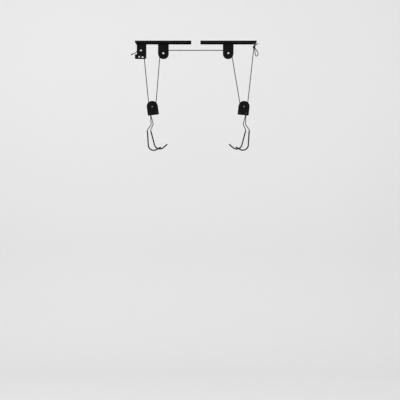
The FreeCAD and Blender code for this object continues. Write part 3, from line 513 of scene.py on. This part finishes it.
def powder_coat(name, wear):
    """Satin black powder coat: orange-peel grain, cloudy tone, steel showing on rubbed edges."""
    material, tree, surface, place = new_material(name)
    grain = use_group(tree, grain_group(), place, Grain=1400.0, Cloud=22.0)
    edges = use_group(tree, edge_group(), place, Amount=wear)
    black = colours().powder
    coat = mix_colour(tree, grain.outputs["Tone"], black, shade(black, 1.9))
    set_colour(tree, surface, mix_colour(tree, edges.outputs["Mask"], coat, colours().bare_steel))
    vary_roughness(tree, surface, grain.outputs["Tone"], smooth=0.44, rough=0.58)
    tree.links.new(edges.outputs["Mask"], surface.inputs["Metallic"])
    surface.inputs["Specular IOR Level"].default_value = 0.07
    add_bump(tree, surface, grain.outputs["Height"], strength=0.22, distance=0.0002)
    return material


def black_oxide(name):
    """Oiled black oxide on pins and rivets: mottled, a little glossy."""
    material, tree, surface, place = new_material(name)
    grain = use_group(tree, grain_group(), place, Grain=2200.0, Cloud=240.0)
    mottled = mix_colour(tree, grain.outputs["Tone"], colours().oxide, colours().oxide_mottle)
    set_colour(tree, surface, mottled)
    vary_roughness(tree, surface, grain.outputs["Tone"], smooth=0.30, rough=0.46)
    surface.inputs["Specular IOR Level"].default_value = 0.3
    add_bump(tree, surface, grain.outputs["Height"], strength=0.12, distance=0.0002)
    return material


def zinc_head(name, colour, centre, roughness):
    """Zinc plate on a turned head: concentric marks, a faint spangle and warm stains."""
    material, tree, surface, place = new_material(name)
    marks = use_group(tree, turned_group(), centred(tree, place, centre), Lines=9500.0)
    spangle = add_node(tree, "ShaderNodeTexVoronoi", {"Vector": place}, {"Scale": 420.0})
    grain = use_group(tree, grain_group(), place, Grain=1800.0, Cloud=130.0)
    cells = spread(tree, spangle.outputs["Distance"], high=0.8)
    tint = mix_colour(tree, cells, colour, shade(colour, 0.72))
    stains = spread(tree, grain.outputs["Tone"], low=0.55, out_high=0.35)
    set_colour(tree, surface, mix_colour(tree, stains, tint, shade(colour, 0.5, 0.48, 0.44)))
    vary_roughness(tree, surface, marks.outputs["Ripple"], smooth=roughness, rough=roughness + 0.14)
    surface.inputs["Metallic"].default_value = 1.0
    add_bump(tree, surface, marks.outputs["Ripple"], strength=0.10, distance=0.0001)
    return material


def plated_wire(name):
    """Zinc plated wire: drawn streaks down the length, cloudy passivation."""
    material, tree, surface, place = new_material(name)
    stretch = add_node(tree, "ShaderNodeMapping", {"Vector": place}, {"Scale": (1.0, 1.0, 0.06)})
    streaks = noise(tree, stretch.outputs["Vector"], scale=900.0, detail=3.0, roughness=0.6)
    grain = use_group(tree, grain_group(), place, Grain=1500.0, Cloud=75.0)
    base = colours().wire
    plate = mix_colour(tree, spread(tree, streaks, low=0.35, high=0.65), base, shade(base, 1.7))
    clouds = spread(tree, grain.outputs["Tone"], low=0.5, out_high=0.6)
    set_colour(tree, surface, mix_colour(tree, clouds, plate, shade(base, 0.7, 0.66, 0.58)))
    vary_roughness(tree, surface, streaks, smooth=0.30, rough=0.46, low=0.3, high=0.7)
    surface.inputs["Metallic"].default_value = 0.9
    add_bump(tree, surface, streaks, strength=0.12, distance=0.0001)
    return material


def dipped_vinyl(name):
    """Dipped vinyl: soft runs along the surface, fine skin, satin gloss with scuffed patches."""
    material, tree, surface, place = new_material(name)
    grain = use_group(tree, grain_group(), place, Grain=1100.0, Cloud=55.0)
    runs = noise(tree, place, scale=190.0, detail=2.0)
    black = colours().vinyl
    scuffs = spread(tree, grain.outputs["Tone"], low=0.45)
    set_colour(tree, surface, mix_colour(tree, scuffs, black, shade(black, 2.6)))
    vary_roughness(tree, surface, grain.outputs["Tone"], smooth=0.34, rough=0.56)
    surface.inputs["Specular IOR Level"].default_value = 0.32
    skin = maths(tree, "MULTIPLY", grain.outputs["Height"], 0.25)
    height = maths(tree, "ADD", maths(tree, "MULTIPLY", runs, 0.8), skin)
    add_bump(tree, surface, height, strength=0.25, distance=0.0004)
    return material


def moulded_nylon(name, centre):
    """Moulded nylon sheave: faint turned witness lines and a dry, slightly cloudy skin."""
    material, tree, surface, place = new_material(name)
    marks = use_group(tree, turned_group(), centred(tree, place, centre), Lines=5200.0)
    grain = use_group(tree, grain_group(), place, Grain=1700.0, Cloud=60.0)
    black = colours().nylon
    set_colour(tree, surface, mix_colour(tree, grain.outputs["Tone"], black, shade(black, 1.8)))
    vary_roughness(tree, surface, marks.outputs["Ripple"], smooth=0.42, rough=0.52)
    surface.inputs["Specular IOR Level"].default_value = 0.35
    lines = maths(tree, "MULTIPLY", marks.outputs["Ripple"], 0.4)
    height = maths(tree, "ADD", lines, grain.outputs["Height"])
    add_bump(tree, surface, height, strength=0.12, distance=0.0002)
    return material


def rolled_steel(name):
    """Dark knurled steel: bright tips, and valleys darkened as painted shade, from the roller's own height
    attribute.
    """
    material, tree, surface, place = new_material(name)
    tip = add_node(tree, "ShaderNodeAttribute", attribute_name="knurl")
    grain = use_group(tree, grain_group(), place, Grain=2000.0, Cloud=150.0)
    height = spread(tree, tip.outputs["Fac"], low=0.15, high=0.95)
    # Painted shade: the knurl's valleys get a darker colour than its tips.
    steel = mix_colour(tree, height, colours().knurl_valley_painted_shade, colours().knurl_tip)
    oily = spread(tree, grain.outputs["Tone"], low=0.4, out_high=0.5)
    set_colour(tree, surface, mix_colour(tree, oily, steel, colours().roller_oil))
    vary_roughness(tree, surface, grain.outputs["Tone"], smooth=0.32, rough=0.5)
    surface.inputs["Metallic"].default_value = 0.95
    add_bump(tree, surface, grain.outputs["Height"], strength=0.1, distance=0.0001)
    return material


def braided_rope(name):
    """Braided cord: strands from the braid attribute, their grooves darkened as painted shade, fibres along
    the UV, pale flecks of lint.
    """
    found = bpy.data.materials.get(name)
    if found:
        return found
    material, tree, surface, place = new_material(name)
    lay = add_node(tree, "ShaderNodeAttribute", attribute_name="braid")
    along = tree.nodes.new("ShaderNodeTexCoord").outputs["UV"]
    thread = add_node(tree, "ShaderNodeMapping", {"Vector": along}, {"Scale": (1.0, 160.0, 1.0)})
    fibres = noise(tree, thread.outputs["Vector"], scale=26.0, detail=4.0, roughness=0.7)
    specks = noise(tree, place, scale=900.0, detail=2.0)
    top = colours().rope
    height = spread(tree, lay.outputs["Fac"], low=0.25, high=0.95)
    # Painted shade: the grooves between the strands are coloured a sixth as bright as their tops.
    strands = mix_colour(tree, height, shade(top, 0.16), top)
    rubbed = spread(tree, fibres, low=0.35, high=0.75, out_high=0.5)
    worn = mix_colour(tree, rubbed, strands, shade(top, 1.9))
    flecks = spread(tree, specks, low=0.66, high=0.74, out_high=0.35)
    set_colour(tree, surface, mix_colour(tree, flecks, worn, colours().lint))
    vary_roughness(tree, surface, fibres, smooth=0.68, rough=0.88, low=0.3, high=0.7)
    surface.inputs["Specular IOR Level"].default_value = 0.1
    surface.inputs["Sheen Weight"].default_value = 0.03
    surface.inputs["Sheen Roughness"].default_value = 0.5
    add_bump(tree, surface, fibres, strength=0.3, distance=0.0002)
    return material


def sealed_end(name):
    """Melted rope end: hard, glossy in places, lumpy."""
    material, tree, surface, place = new_material(name)
    grain = use_group(tree, grain_group(), place, Grain=1300.0, Cloud=320.0)
    set_colour(tree, surface, mix_colour(tree, grain.outputs["Tone"], colours().seal, colours().seal_patch))
    vary_roughness(tree, surface, grain.outputs["Tone"], smooth=0.22, rough=0.5)
    surface.inputs["Specular IOR Level"].default_value = 0.35
    add_bump(tree, surface, grain.outputs["Tone"], strength=0.3, distance=0.0004)
    return material


def studio_paint(name):
    """Matt paint of the floor and backdrop, left plain."""
    material, _, surface, _ = new_material(name)
    surface.inputs["Base Color"].default_value = (*colours().backdrop, 1.0)
    surface.inputs["Roughness"].default_value = 0.95
    surface.inputs["Specular IOR Level"].default_value = 0.0
    return material


def finish_node(name, material):
    """Gives a solid of the frame its finish."""
    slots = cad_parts[name].material_slots
    if not slots:
        raise RuntimeError(f"{name} has no material slot")
    for slot in slots:
        slot.material = material


# Mesh helpers

def new_piece(name, mesh, material):
    """A smooth-shaded object of the mesh."""
    mesh.polygons.foreach_set("use_smooth", np.ones(len(mesh.polygons), dtype=bool))
    mesh.materials.append(material)
    mesh.update()
    piece = bpy.data.objects.new(name, mesh)
    bpy.context.scene.collection.objects.link(piece)
    return piece


def tube_mesh(name, points, label, values):
    """A tube from a grid of points, rings by columns, with a named value at each point.
    Quads join ring i, column j with the next ring and the next column, wrapping round; a flat face
    closes each end."""
    rings, columns = points.shape[:2]
    index = np.arange(rings * columns).reshape(rings, columns)
    here = index[:-1]
    ahead = index[1:]
    corners = [here, np.roll(here, -1, axis=1), np.roll(ahead, -1, axis=1), ahead]
    faces = np.stack(corners, axis=-1).reshape(-1, 4).tolist()
    faces.append(index[0][::-1].tolist())
    faces.append(index[-1].tolist())
    mesh = bpy.data.meshes.new(name)
    mesh.from_pydata(points.reshape(-1, 3).tolist(), [], faces)
    layer = mesh.attributes.new(label, "FLOAT", "POINT")
    layer.data.foreach_set("value", values.astype(np.float32).ravel())
    return mesh


def write_uv(mesh, along, columns):
    """UV of a tube: turns round it, and metres along it; the seam column counts as a full turn."""
    loops = np.zeros(len(mesh.loops), dtype=np.int64)
    mesh.loops.foreach_get("vertex_index", loops)
    around = (loops % columns) / columns
    corner = np.arange(len(loops))
    in_quad = corner < (len(along) - 1) * columns * 4
    last_column = ((corner // 4) % columns == columns - 1) & in_quad
    around = np.where(last_column & (loops % columns == 0), 1.0, around)
    layer = mesh.uv_layers.new(name="rope_map")
    pairs = np.stack([around, along[loops // columns]], axis=-1)
    layer.data.foreach_set("uv", pairs.astype(np.float32).ravel())


def read_route(name, points):
    """Points along a smooth NURBS line whose control points are the route's points."""
    data = bpy.data.curves.new(name, "CURVE")
    data.dimensions = "3D"
    spline = data.splines.new("NURBS")
    spline.points.add(len(points) - 1)
    spline.points.foreach_set("co", [c for point in points for c in (*point, 1.0)])
    spline.order_u = 3
    spline.use_endpoint_u = True
    spline.resolution_u = LINE_STEPS
    line = bpy.data.objects.new(name, data)
    bpy.context.scene.collection.objects.link(line)
    bpy.context.view_layer.update()
    mesh = bpy.data.meshes.new_from_object(line)
    path = np.zeros(len(mesh.vertices) * 3)
    mesh.vertices.foreach_get("co", path)
    bpy.data.objects.remove(line)
    bpy.data.curves.remove(data)
    bpy.data.meshes.remove(mesh)
    return path.reshape(-1, 3)


def even_path(path, step):
    """The same line with evenly spaced points, by its own length; gives points, headings and distances."""
    legs = np.linalg.norm(np.diff(path, axis=0), axis=1)
    path = path[np.concatenate([[True], legs > SAME_POINT])]
    far = np.concatenate([[0.0], np.cumsum(np.linalg.norm(np.diff(path, axis=0), axis=1))])
    count = max(int(round(far[-1] / step)), LEAST_STEPS) + 1
    distance = np.linspace(0.0, far[-1], count)
    points = np.stack([np.interp(distance, far, path[:, axis]) for axis in range(3)], axis=-1)
    heading = np.gradient(points, axis=0)
    heading /= np.linalg.norm(heading, axis=1, keepdims=True)
    return points, heading, distance


def braid_height(turn, distance, strands, lay):
    """Height of a braid, 0 in the grooves and 1 on top.
    Two sets of strands wind left and right. Each is a rounded ridge, the root of a cosine, and where they
    cross the two take turns to stand higher by the crown."""
    crown = 0.35
    right = strands * (turn + distance / lay)
    left = strands * (turn - distance / lay)
    over = np.cos(np.pi * right) * np.cos(np.pi * left)
    ridge_right = np.sqrt(np.abs(np.cos(np.pi * right))) * (1 + crown * over)
    ridge_left = np.sqrt(np.abs(np.cos(np.pi * left))) * (1 - crown * over)
    return np.maximum(ridge_right, ridge_left) / (1 + crown)


def rope_surface(path, heading, distance, reference):
    """Grid of points on a braided rope, and the braid's height at each.
    A ring stands square to the line at each point of the path. Its first axis is the reference direction
    made square to the line, and a point's radius is the rope's, less the braid's depth times one minus
    the braid's height."""
    s = sizes()
    upright = np.asarray(reference, dtype=float)
    first = upright - heading * (heading @ upright)[:, None]
    first /= np.linalg.norm(first, axis=1, keepdims=True)
    second = np.cross(heading, first)
    turn = np.arange(s.ring_points) / s.ring_points
    height = braid_height(turn[None, :], distance[:, None], s.braid_strands, s.braid_lay)
    radius = s.rope_diameter / 2 - s.braid_depth * (1 - height)
    angle = 2 * np.pi * turn[None, :, None]
    spoke = first[:, None, :] * np.cos(angle) + second[:, None, :] * np.sin(angle)
    return path[:, None, :] + spoke * radius[..., None], height


def rope_piece(stretch, route, reference, body=FRAME_BODY):
    """A braided stretch of rope along the route, and its path.
    It stands for the solid of the same name, if there is one."""
    name = stretch + "_braid"
    path, heading, distance = even_path(read_route(name + "_line", route), sizes().ring_step)
    points, height = rope_surface(path, heading, distance, reference)
    mesh = tube_mesh(name, points, "braid", height)
    write_uv(mesh, distance, sizes().ring_points)
    piece = new_piece(name, mesh, braided_rope("rope_braid_charcoal"))
    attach(piece, body)
    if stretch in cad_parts:
        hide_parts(stretch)
    return piece, path


# Rope route

def touching_normal(span, share, side):
    """Unit vector with the given share along the span, leaning to the given side."""
    along = span / np.linalg.norm(span)
    across = np.array([along[2], 0.0, -along[0]])
    across *= math.copysign(1.0, across[0] * side)
    return along * share + across * math.sqrt(1 - share * share)


def crossing_tangent(upper, upper_pitch, lower, side):
    """Where a rope leaves the upper sheave on one side and meets a block's sheave on the other side.
    The line's unit normal n has n . (lower - upper) equal to the sum of the two pitch radii."""
    span = np.subtract(lower, upper)
    share = (upper_pitch + SHEAVE_PITCH) / np.linalg.norm(span)
    normal = touching_normal(span, share, side)
    return upper + normal * upper_pitch, lower - normal * SHEAVE_PITCH


def point_tangent(point, centre, side):
    """Where a rope from a point touches the given side of a sheave."""
    span = np.subtract(point, centre)
    share = SHEAVE_PITCH / np.linalg.norm(span)
    return centre + touching_normal(span, share, side) * SHEAVE_PITCH


def about(centre, points):
    """Points of the rope's plane, counted from a sheave's axis."""
    return [(centre[0] + x, 0.0, centre[2] + z) for x, z in points]


def from_knot(points):
    """Points counted from the middle of the knot."""
    return (np.array(KNOT) + points).tolist()


LOCK_TOP, LOCK_LOW = crossing_tangent(LOCK_SHEAVE, LOCK_PITCH, LEFT_BLOCK, RIGHT)
LEFT_TOP, LEFT_LOW = crossing_tangent(LEFT_PULLEY, SHEAVE_PITCH, LEFT_BLOCK, LEFT)
RIGHT_TOP, RIGHT_LOW = crossing_tangent(RIGHT_PULLEY, SHEAVE_PITCH, RIGHT_BLOCK, RIGHT)
ANCHOR_TOP = np.array(KNOT_FOOT)
ANCHOR_LOW = point_tangent(KNOT_FOOT, RIGHT_BLOCK, RIGHT)

# Each fall with its ends and the joint that shortens it.
FALLS = (
    ("rope_lock_fall", LOCK_TOP, LOCK_LOW, "left_block_lift"),
    ("rope_left_fall", LEFT_TOP, LEFT_LOW, "left_block_lift"),
    ("rope_right_fall", RIGHT_TOP, RIGHT_LOW, "right_block_lift"),
    ("rope_anchor_fall", ANCHOR_TOP, ANCHOR_LOW, "right_block_lift"),
)

# The route of the rope under each block, and the body that it rides on.
BIGHTS = (
    ("rope_left_bight", (LOCK_LOW, *about(LEFT_BLOCK, LEFT_BIGHT), LEFT_LOW), "left_bight"),
    ("rope_right_bight", (RIGHT_LOW, *about(RIGHT_BLOCK, RIGHT_BIGHT), ANCHOR_LOW), "right_bight"),
)
SPAN = (LEFT_TOP, *about(LEFT_PULLEY, LEFT_OVER), *about(RIGHT_PULLEY, RIGHT_OVER), RIGHT_TOP)
FREE_END = (LOCK_TOP, *about(LOCK_SHEAVE, LOCK_OVER), *about(LOCK_SHEAVE, TAIL))


def knot_turns():
    """Control points of the knot's turns, going down an upright helix.
    Their radius is the helix's, divided by the cosine of half a step, so that the line keeps to it."""
    count = int(KNOT_TURN_POINTS * KNOT_TURNS) + 1
    angle = math.pi / 2 + np.linspace(0, 2 * math.pi * KNOT_TURNS, count)
    ring = KNOT_RADIUS / math.cos(math.pi / KNOT_TURN_POINTS)
    drop = np.linspace(KNOT_HIGH, KNOT_LOW, count)
    return np.stack([ring * np.cos(angle), ring * np.sin(angle), drop], axis=-1)


class HOIST_OT_falls(bpy.types.Operator):
    """Braids the four rope falls, each straight from its upper end to its block"""

    bl_idname = "hoist.falls"
    bl_label = "Rope falls"

    def execute(self, context):
        for stretch, top, low, joint in FALLS:
            heading = (low - top) / np.linalg.norm(low - top)
            clear = heading * STRAIGHT_DIAMETERS * sizes().rope_diameter
            piece, path = rope_piece(stretch, (top, top + clear, low - clear, low), ACROSS_RAIL)
            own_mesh(piece)
        return {"FINISHED"}


class HOIST_OT_bights(bpy.types.Operator):
    """Braids the rope under the two block sheaves"""

    bl_idname = "hoist.bights"
    bl_label = "Rope bights"

    def execute(self, context):
        for stretch, route, body in BIGHTS:
            piece, path = rope_piece(stretch, route, ACROSS_RAIL, body)
        return {"FINISHED"}


class HOIST_OT_span(bpy.types.Operator):
    """Braids the level rope between the two fixed pulleys, with its wraps"""

    bl_idname = "hoist.span"
    bl_label = "Rope span"

    def execute(self, context):
        piece, path = rope_piece("rope_span", SPAN, ACROSS_RAIL)
        return {"FINISHED"}


class HOIST_OT_tail(bpy.types.Operator):
    """Braids the rope over the lock sheave and out to its sealed free end"""

    bl_idname = "hoist.tail"
    bl_label = "Rope tail"

    def execute(self, context):
        piece, path = rope_piece("rope_tail", FREE_END, ACROSS_RAIL)
        finish_node("rope_end_sleeve", sealed_end("rope_seal_melted"))
        return {"FINISHED"}


class HOIST_OT_tie(bpy.types.Operator):
    """Braids the tie: loop through the rail, knot turns, bow loop and short end"""

    bl_idname = "hoist.tie"
    bl_label = "Rope tie"

    def execute(self, context):
        loop, loop_path = rope_piece("rope_tie_loop", TIE_LOOP, ALONG_RAIL)
        turns, turns_path = rope_piece("rope_knot", from_knot(knot_turns()), UP)
        core = rope_piece("rope_knot_core", from_knot(KNOT_CORE), ACROSS_RAIL)[0]
        bow, bow_path = rope_piece("rope_bow", from_knot(BOW), ACROSS_RAIL)
        end, end_path = rope_piece("rope_short_end", from_knot(SHORT_END), ACROSS_RAIL)
        return {"FINISHED"}


class HOIST_OT_coat(bpy.types.Operator):
    """Powder coats the rails, hangers and block cheeks"""

    bl_idname = "hoist.coat"
    bl_label = "Powder coat"

    def execute(self, context):
        for names, label, wear in (
            (RAILS, "rail_powder_black", RAIL_WEAR),
            (HANGERS, "hanger_powder_black", HANGER_WEAR),
            (CHEEKS, "cheek_powder_black", CHEEK_WEAR),
        ):
            coat = powder_coat(label, wear)
            for name in names:
                finish_node(name, coat)
        return {"FINISHED"}


class HOIST_OT_fasteners(bpy.types.Operator):
    """Plates the axles and blackens the pins and rivets"""

    bl_idname = "hoist.fasteners"
    bl_label = "Axles and pins"

    def execute(self, context):
        for name, centre in FIXED_AXLES.items():
            zinc = zinc_head(name + "_bright_zinc", colours().bright_zinc, centre, BRIGHT_ROUGHNESS)
            finish_node(name, zinc)
        for name, centre in BLOCK_AXLES.items():
            zinc = zinc_head(name + "_dull_zinc", colours().dull_zinc, centre, DULL_ROUGHNESS)
            finish_node(name, zinc)
        oxide = black_oxide("pin_black_oxide")
        for name in PINS:
            finish_node(name, oxide)
        return {"FINISHED"}


class HOIST_OT_sheaves(bpy.types.Operator):
    """Gives the sheaves their moulded finish"""

    bl_idname = "hoist.sheaves"
    bl_label = "Sheaves"

    def execute(self, context):
        for name, centre in SHEAVES.items():
            finish_node(name, moulded_nylon(name + "_nylon", centre))
        return {"FINISHED"}


class HOIST_OT_hooks(bpy.types.Operator):
    """Plates the hook wires and dips their sleeves"""

    bl_idname = "hoist.hooks"
    bl_label = "Hooks"

    def execute(self, context):
        wire = plated_wire("hook_plated_wire")
        vinyl = dipped_vinyl("hook_dipped_vinyl")
        for name in HOOKS:
            finish_node(name, wire)
        for name in GRIPS:
            finish_node(name, vinyl)
        return {"FINISHED"}


def roller_profile():
    """Distances along the roller's axle, and its radius at each, before the knurl.
    From the middle to either end: level barrel, step up to the flange, quarter arc at its rim, end face."""
    bend = np.linspace(0, np.pi / 2, ROUND_STEPS)
    rim_y = FLANGE_OUTER_Y - FLANGE_ROUND + FLANGE_ROUND * np.sin(bend)
    rim_radius = FLANGE_RADIUS - FLANGE_ROUND + FLANGE_ROUND * np.cos(bend)
    end_y = np.concatenate([[FLANGE_INNER_Y, FLANGE_INNER_Y], rim_y, [FLANGE_OUTER_Y]])
    end_radius = np.concatenate([[BARREL_RADIUS, FLANGE_RADIUS], rim_radius, [END_FACE_RADIUS]])
    band_y = np.linspace(-BAND_Y, BAND_Y, BAND_ROWS)
    band_radius = np.full(BAND_ROWS, BARREL_RADIUS)
    y = np.concatenate([-end_y[::-1], band_y, end_y])
    return y, np.concatenate([end_radius[::-1], band_radius, end_radius])


def roller_surface():
    """Grid of points on the lock roller, and the knurl's height at each.
    The radius is the profile's, less the knurl's depth times one minus its height. In the band between the
    plates that height is the lower of two sets of ridges, which slant left and right by 45 degrees."""
    y, plain = roller_profile()
    turn = np.arange(ROLLER_COLUMNS) / ROLLER_COLUMNS
    lead = 2 * math.pi * BARREL_RADIUS / KNURL_TEETH
    slant_right = KNURL_TEETH * turn[None, :] + y[:, None] / lead
    slant_left = KNURL_TEETH * turn[None, :] - y[:, None] / lead
    diamond = np.minimum(np.abs(np.cos(np.pi * slant_right)), np.abs(np.cos(np.pi * slant_left)))
    inside = (np.abs(y) < KNURL_Y)[:, None]
    height = np.where(inside, diamond, 1.0)
    radius = plain[:, None] - sizes().knurl_depth * (1 - height)
    angle = 2 * np.pi * turn[None, :]
    points = np.stack([
        LOCK_ROLLER[0] + radius * np.cos(angle),
        np.broadcast_to(y[:, None], radius.shape),
        LOCK_ROLLER[2] - radius * np.sin(angle),
    ], axis=-1)
    return points, height


class HOIST_OT_roller(bpy.types.Operator):
    """Knurls the lock roller"""

    bl_idname = "hoist.roller"
    bl_label = "Lock roller"

    def execute(self, context):
        points, height = roller_surface()
        mesh = tube_mesh("lock_roller_knurled", points, "knurl", height)
        piece = new_piece("lock_roller_knurled", mesh, rolled_steel("roller_dark_steel"))
        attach(piece, "lock_roller")
        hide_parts("lock_roller")
        return {"FINISHED"}


def make_backdrop():
    """Floor, cove and wall: a profile of floor line, quarter arc and wall line carried along X."""
    arc = np.linspace(-np.pi / 2, 0, COVE_STEPS)
    y = np.concatenate([[FRONT_Y], WALL_Y - COVE_RADIUS + COVE_RADIUS * np.cos(arc), [WALL_Y]])
    z = np.concatenate([[FLOOR_Z], FLOOR_Z + COVE_RADIUS + COVE_RADIUS * np.sin(arc), [WALL_TOP_Z]])
    count = len(y)
    points = [(x, *row) for x in (-HALF_WIDTH, HALF_WIDTH) for row in np.stack([y, z], axis=-1).tolist()]
    left = np.arange(count - 1)
    faces = np.stack([left, left + count, left + count + 1, left + 1], axis=-1)
    mesh = bpy.data.meshes.new("studio_cove")
    mesh.from_pydata(points, [], faces.tolist())
    new_piece("studio_cove", mesh, studio_paint("studio_pale"))


def make_world(scene):
    """Even white light from all sides."""
    world = bpy.data.worlds.new("studio_world")
    world.use_nodes = True
    background = world.node_tree.nodes["Background"]
    background.inputs["Color"].default_value = (1.0, 1.0, 1.0, 1.0)
    background.inputs["Strength"].default_value = WORLD_STRENGTH
    scene.world = world


def add_softbox(scene, name, place, width, power):
    """A square light aimed at the middle of the hoist."""
    data = bpy.data.lights.new(name, "AREA")
    data.size = width
    data.energy = power
    light = bpy.data.objects.new(name, data)
    light.location = place
    aim = np.subtract(LIGHT_AIM, place)
    aim /= np.linalg.norm(aim)
    light.rotation_euler = (math.acos(-aim[2]), 0, math.atan2(aim[1], aim[0]) - math.pi / 2)
    scene.collection.objects.link(light)


def add_camera(scene):
    """A level camera that looks along Y."""
    data = bpy.data.cameras.new("photo_camera")
    data.lens = CAMERA_LENS
    data.sensor_width = SENSOR_WIDTH
    data.clip_end = FARTHEST_VIEW
    camera = bpy.data.objects.new("photo_camera", data)
    camera.location = (CAMERA_X, -sizes().camera_distance, CAMERA_Z)
    camera.rotation_euler = (math.pi / 2, 0, 0)
    scene.collection.objects.link(camera)
    scene.camera = camera


class HOIST_OT_stage(bpy.types.Operator):
    """Sets up the pale studio, its soft lights and the camera"""

    bl_idname = "hoist.stage"
    bl_label = "Stage"

    def execute(self, context):
        scene = context.scene
        scene.view_settings.view_transform = "Standard"
        make_backdrop()
        make_world(scene)
        for name, place, width, power in SOFTBOXES:
            add_softbox(scene, name, place, width, power)
        add_camera(scene)
        return {"FINISHED"}


class HOIST_PT_panel(bpy.types.Panel):
    """Sizes, colours and pieces of the hoist"""

    bl_idname = "HOIST_PT_panel"
    bl_label = "Ceiling Hoist"
    bl_space_type = "VIEW_3D"
    bl_region_type = "UI"
    bl_category = "Hoist"

    def draw(self, context):
        for group in (context.scene.hoist_sizes, context.scene.hoist_colours):
            box = self.layout.box()
            for name in group.__annotations__:
                box.prop(group, name)
        for operator in OPERATORS:
            self.layout.operator(operator.bl_idname)


OPERATORS = (
    HOIST_OT_stage,
    HOIST_OT_falls,
    HOIST_OT_bights,
    HOIST_OT_span,
    HOIST_OT_tail,
    HOIST_OT_tie,
    HOIST_OT_coat,
    HOIST_OT_fasteners,
    HOIST_OT_sheaves,
    HOIST_OT_hooks,
    HOIST_OT_roller,
)
CLASSES = (HoistSizes, HoistColours, *OPERATORS, HOIST_PT_panel)


def register():
    for cls in CLASSES:
        bpy.utils.register_class(cls)
    bpy.types.Scene.hoist_sizes = bpy.props.PointerProperty(type=HoistSizes)
    bpy.types.Scene.hoist_colours = bpy.props.PointerProperty(type=HoistColours)


def unregister():
    del bpy.types.Scene.hoist_colours
    del bpy.types.Scene.hoist_sizes
    for cls in reversed(CLASSES):
        bpy.utils.unregister_class(cls)


def main():
    register()
    bpy.ops.hoist.stage()
    bpy.ops.hoist.falls()
    bpy.ops.hoist.bights()
    bpy.ops.hoist.span()
    bpy.ops.hoist.tail()
    bpy.ops.hoist.tie()
    bpy.ops.hoist.coat()
    bpy.ops.hoist.fasteners()
    bpy.ops.hoist.sheaves()
    bpy.ops.hoist.hooks()
    bpy.ops.hoist.roller()


if __name__ == "__main__":
    main()
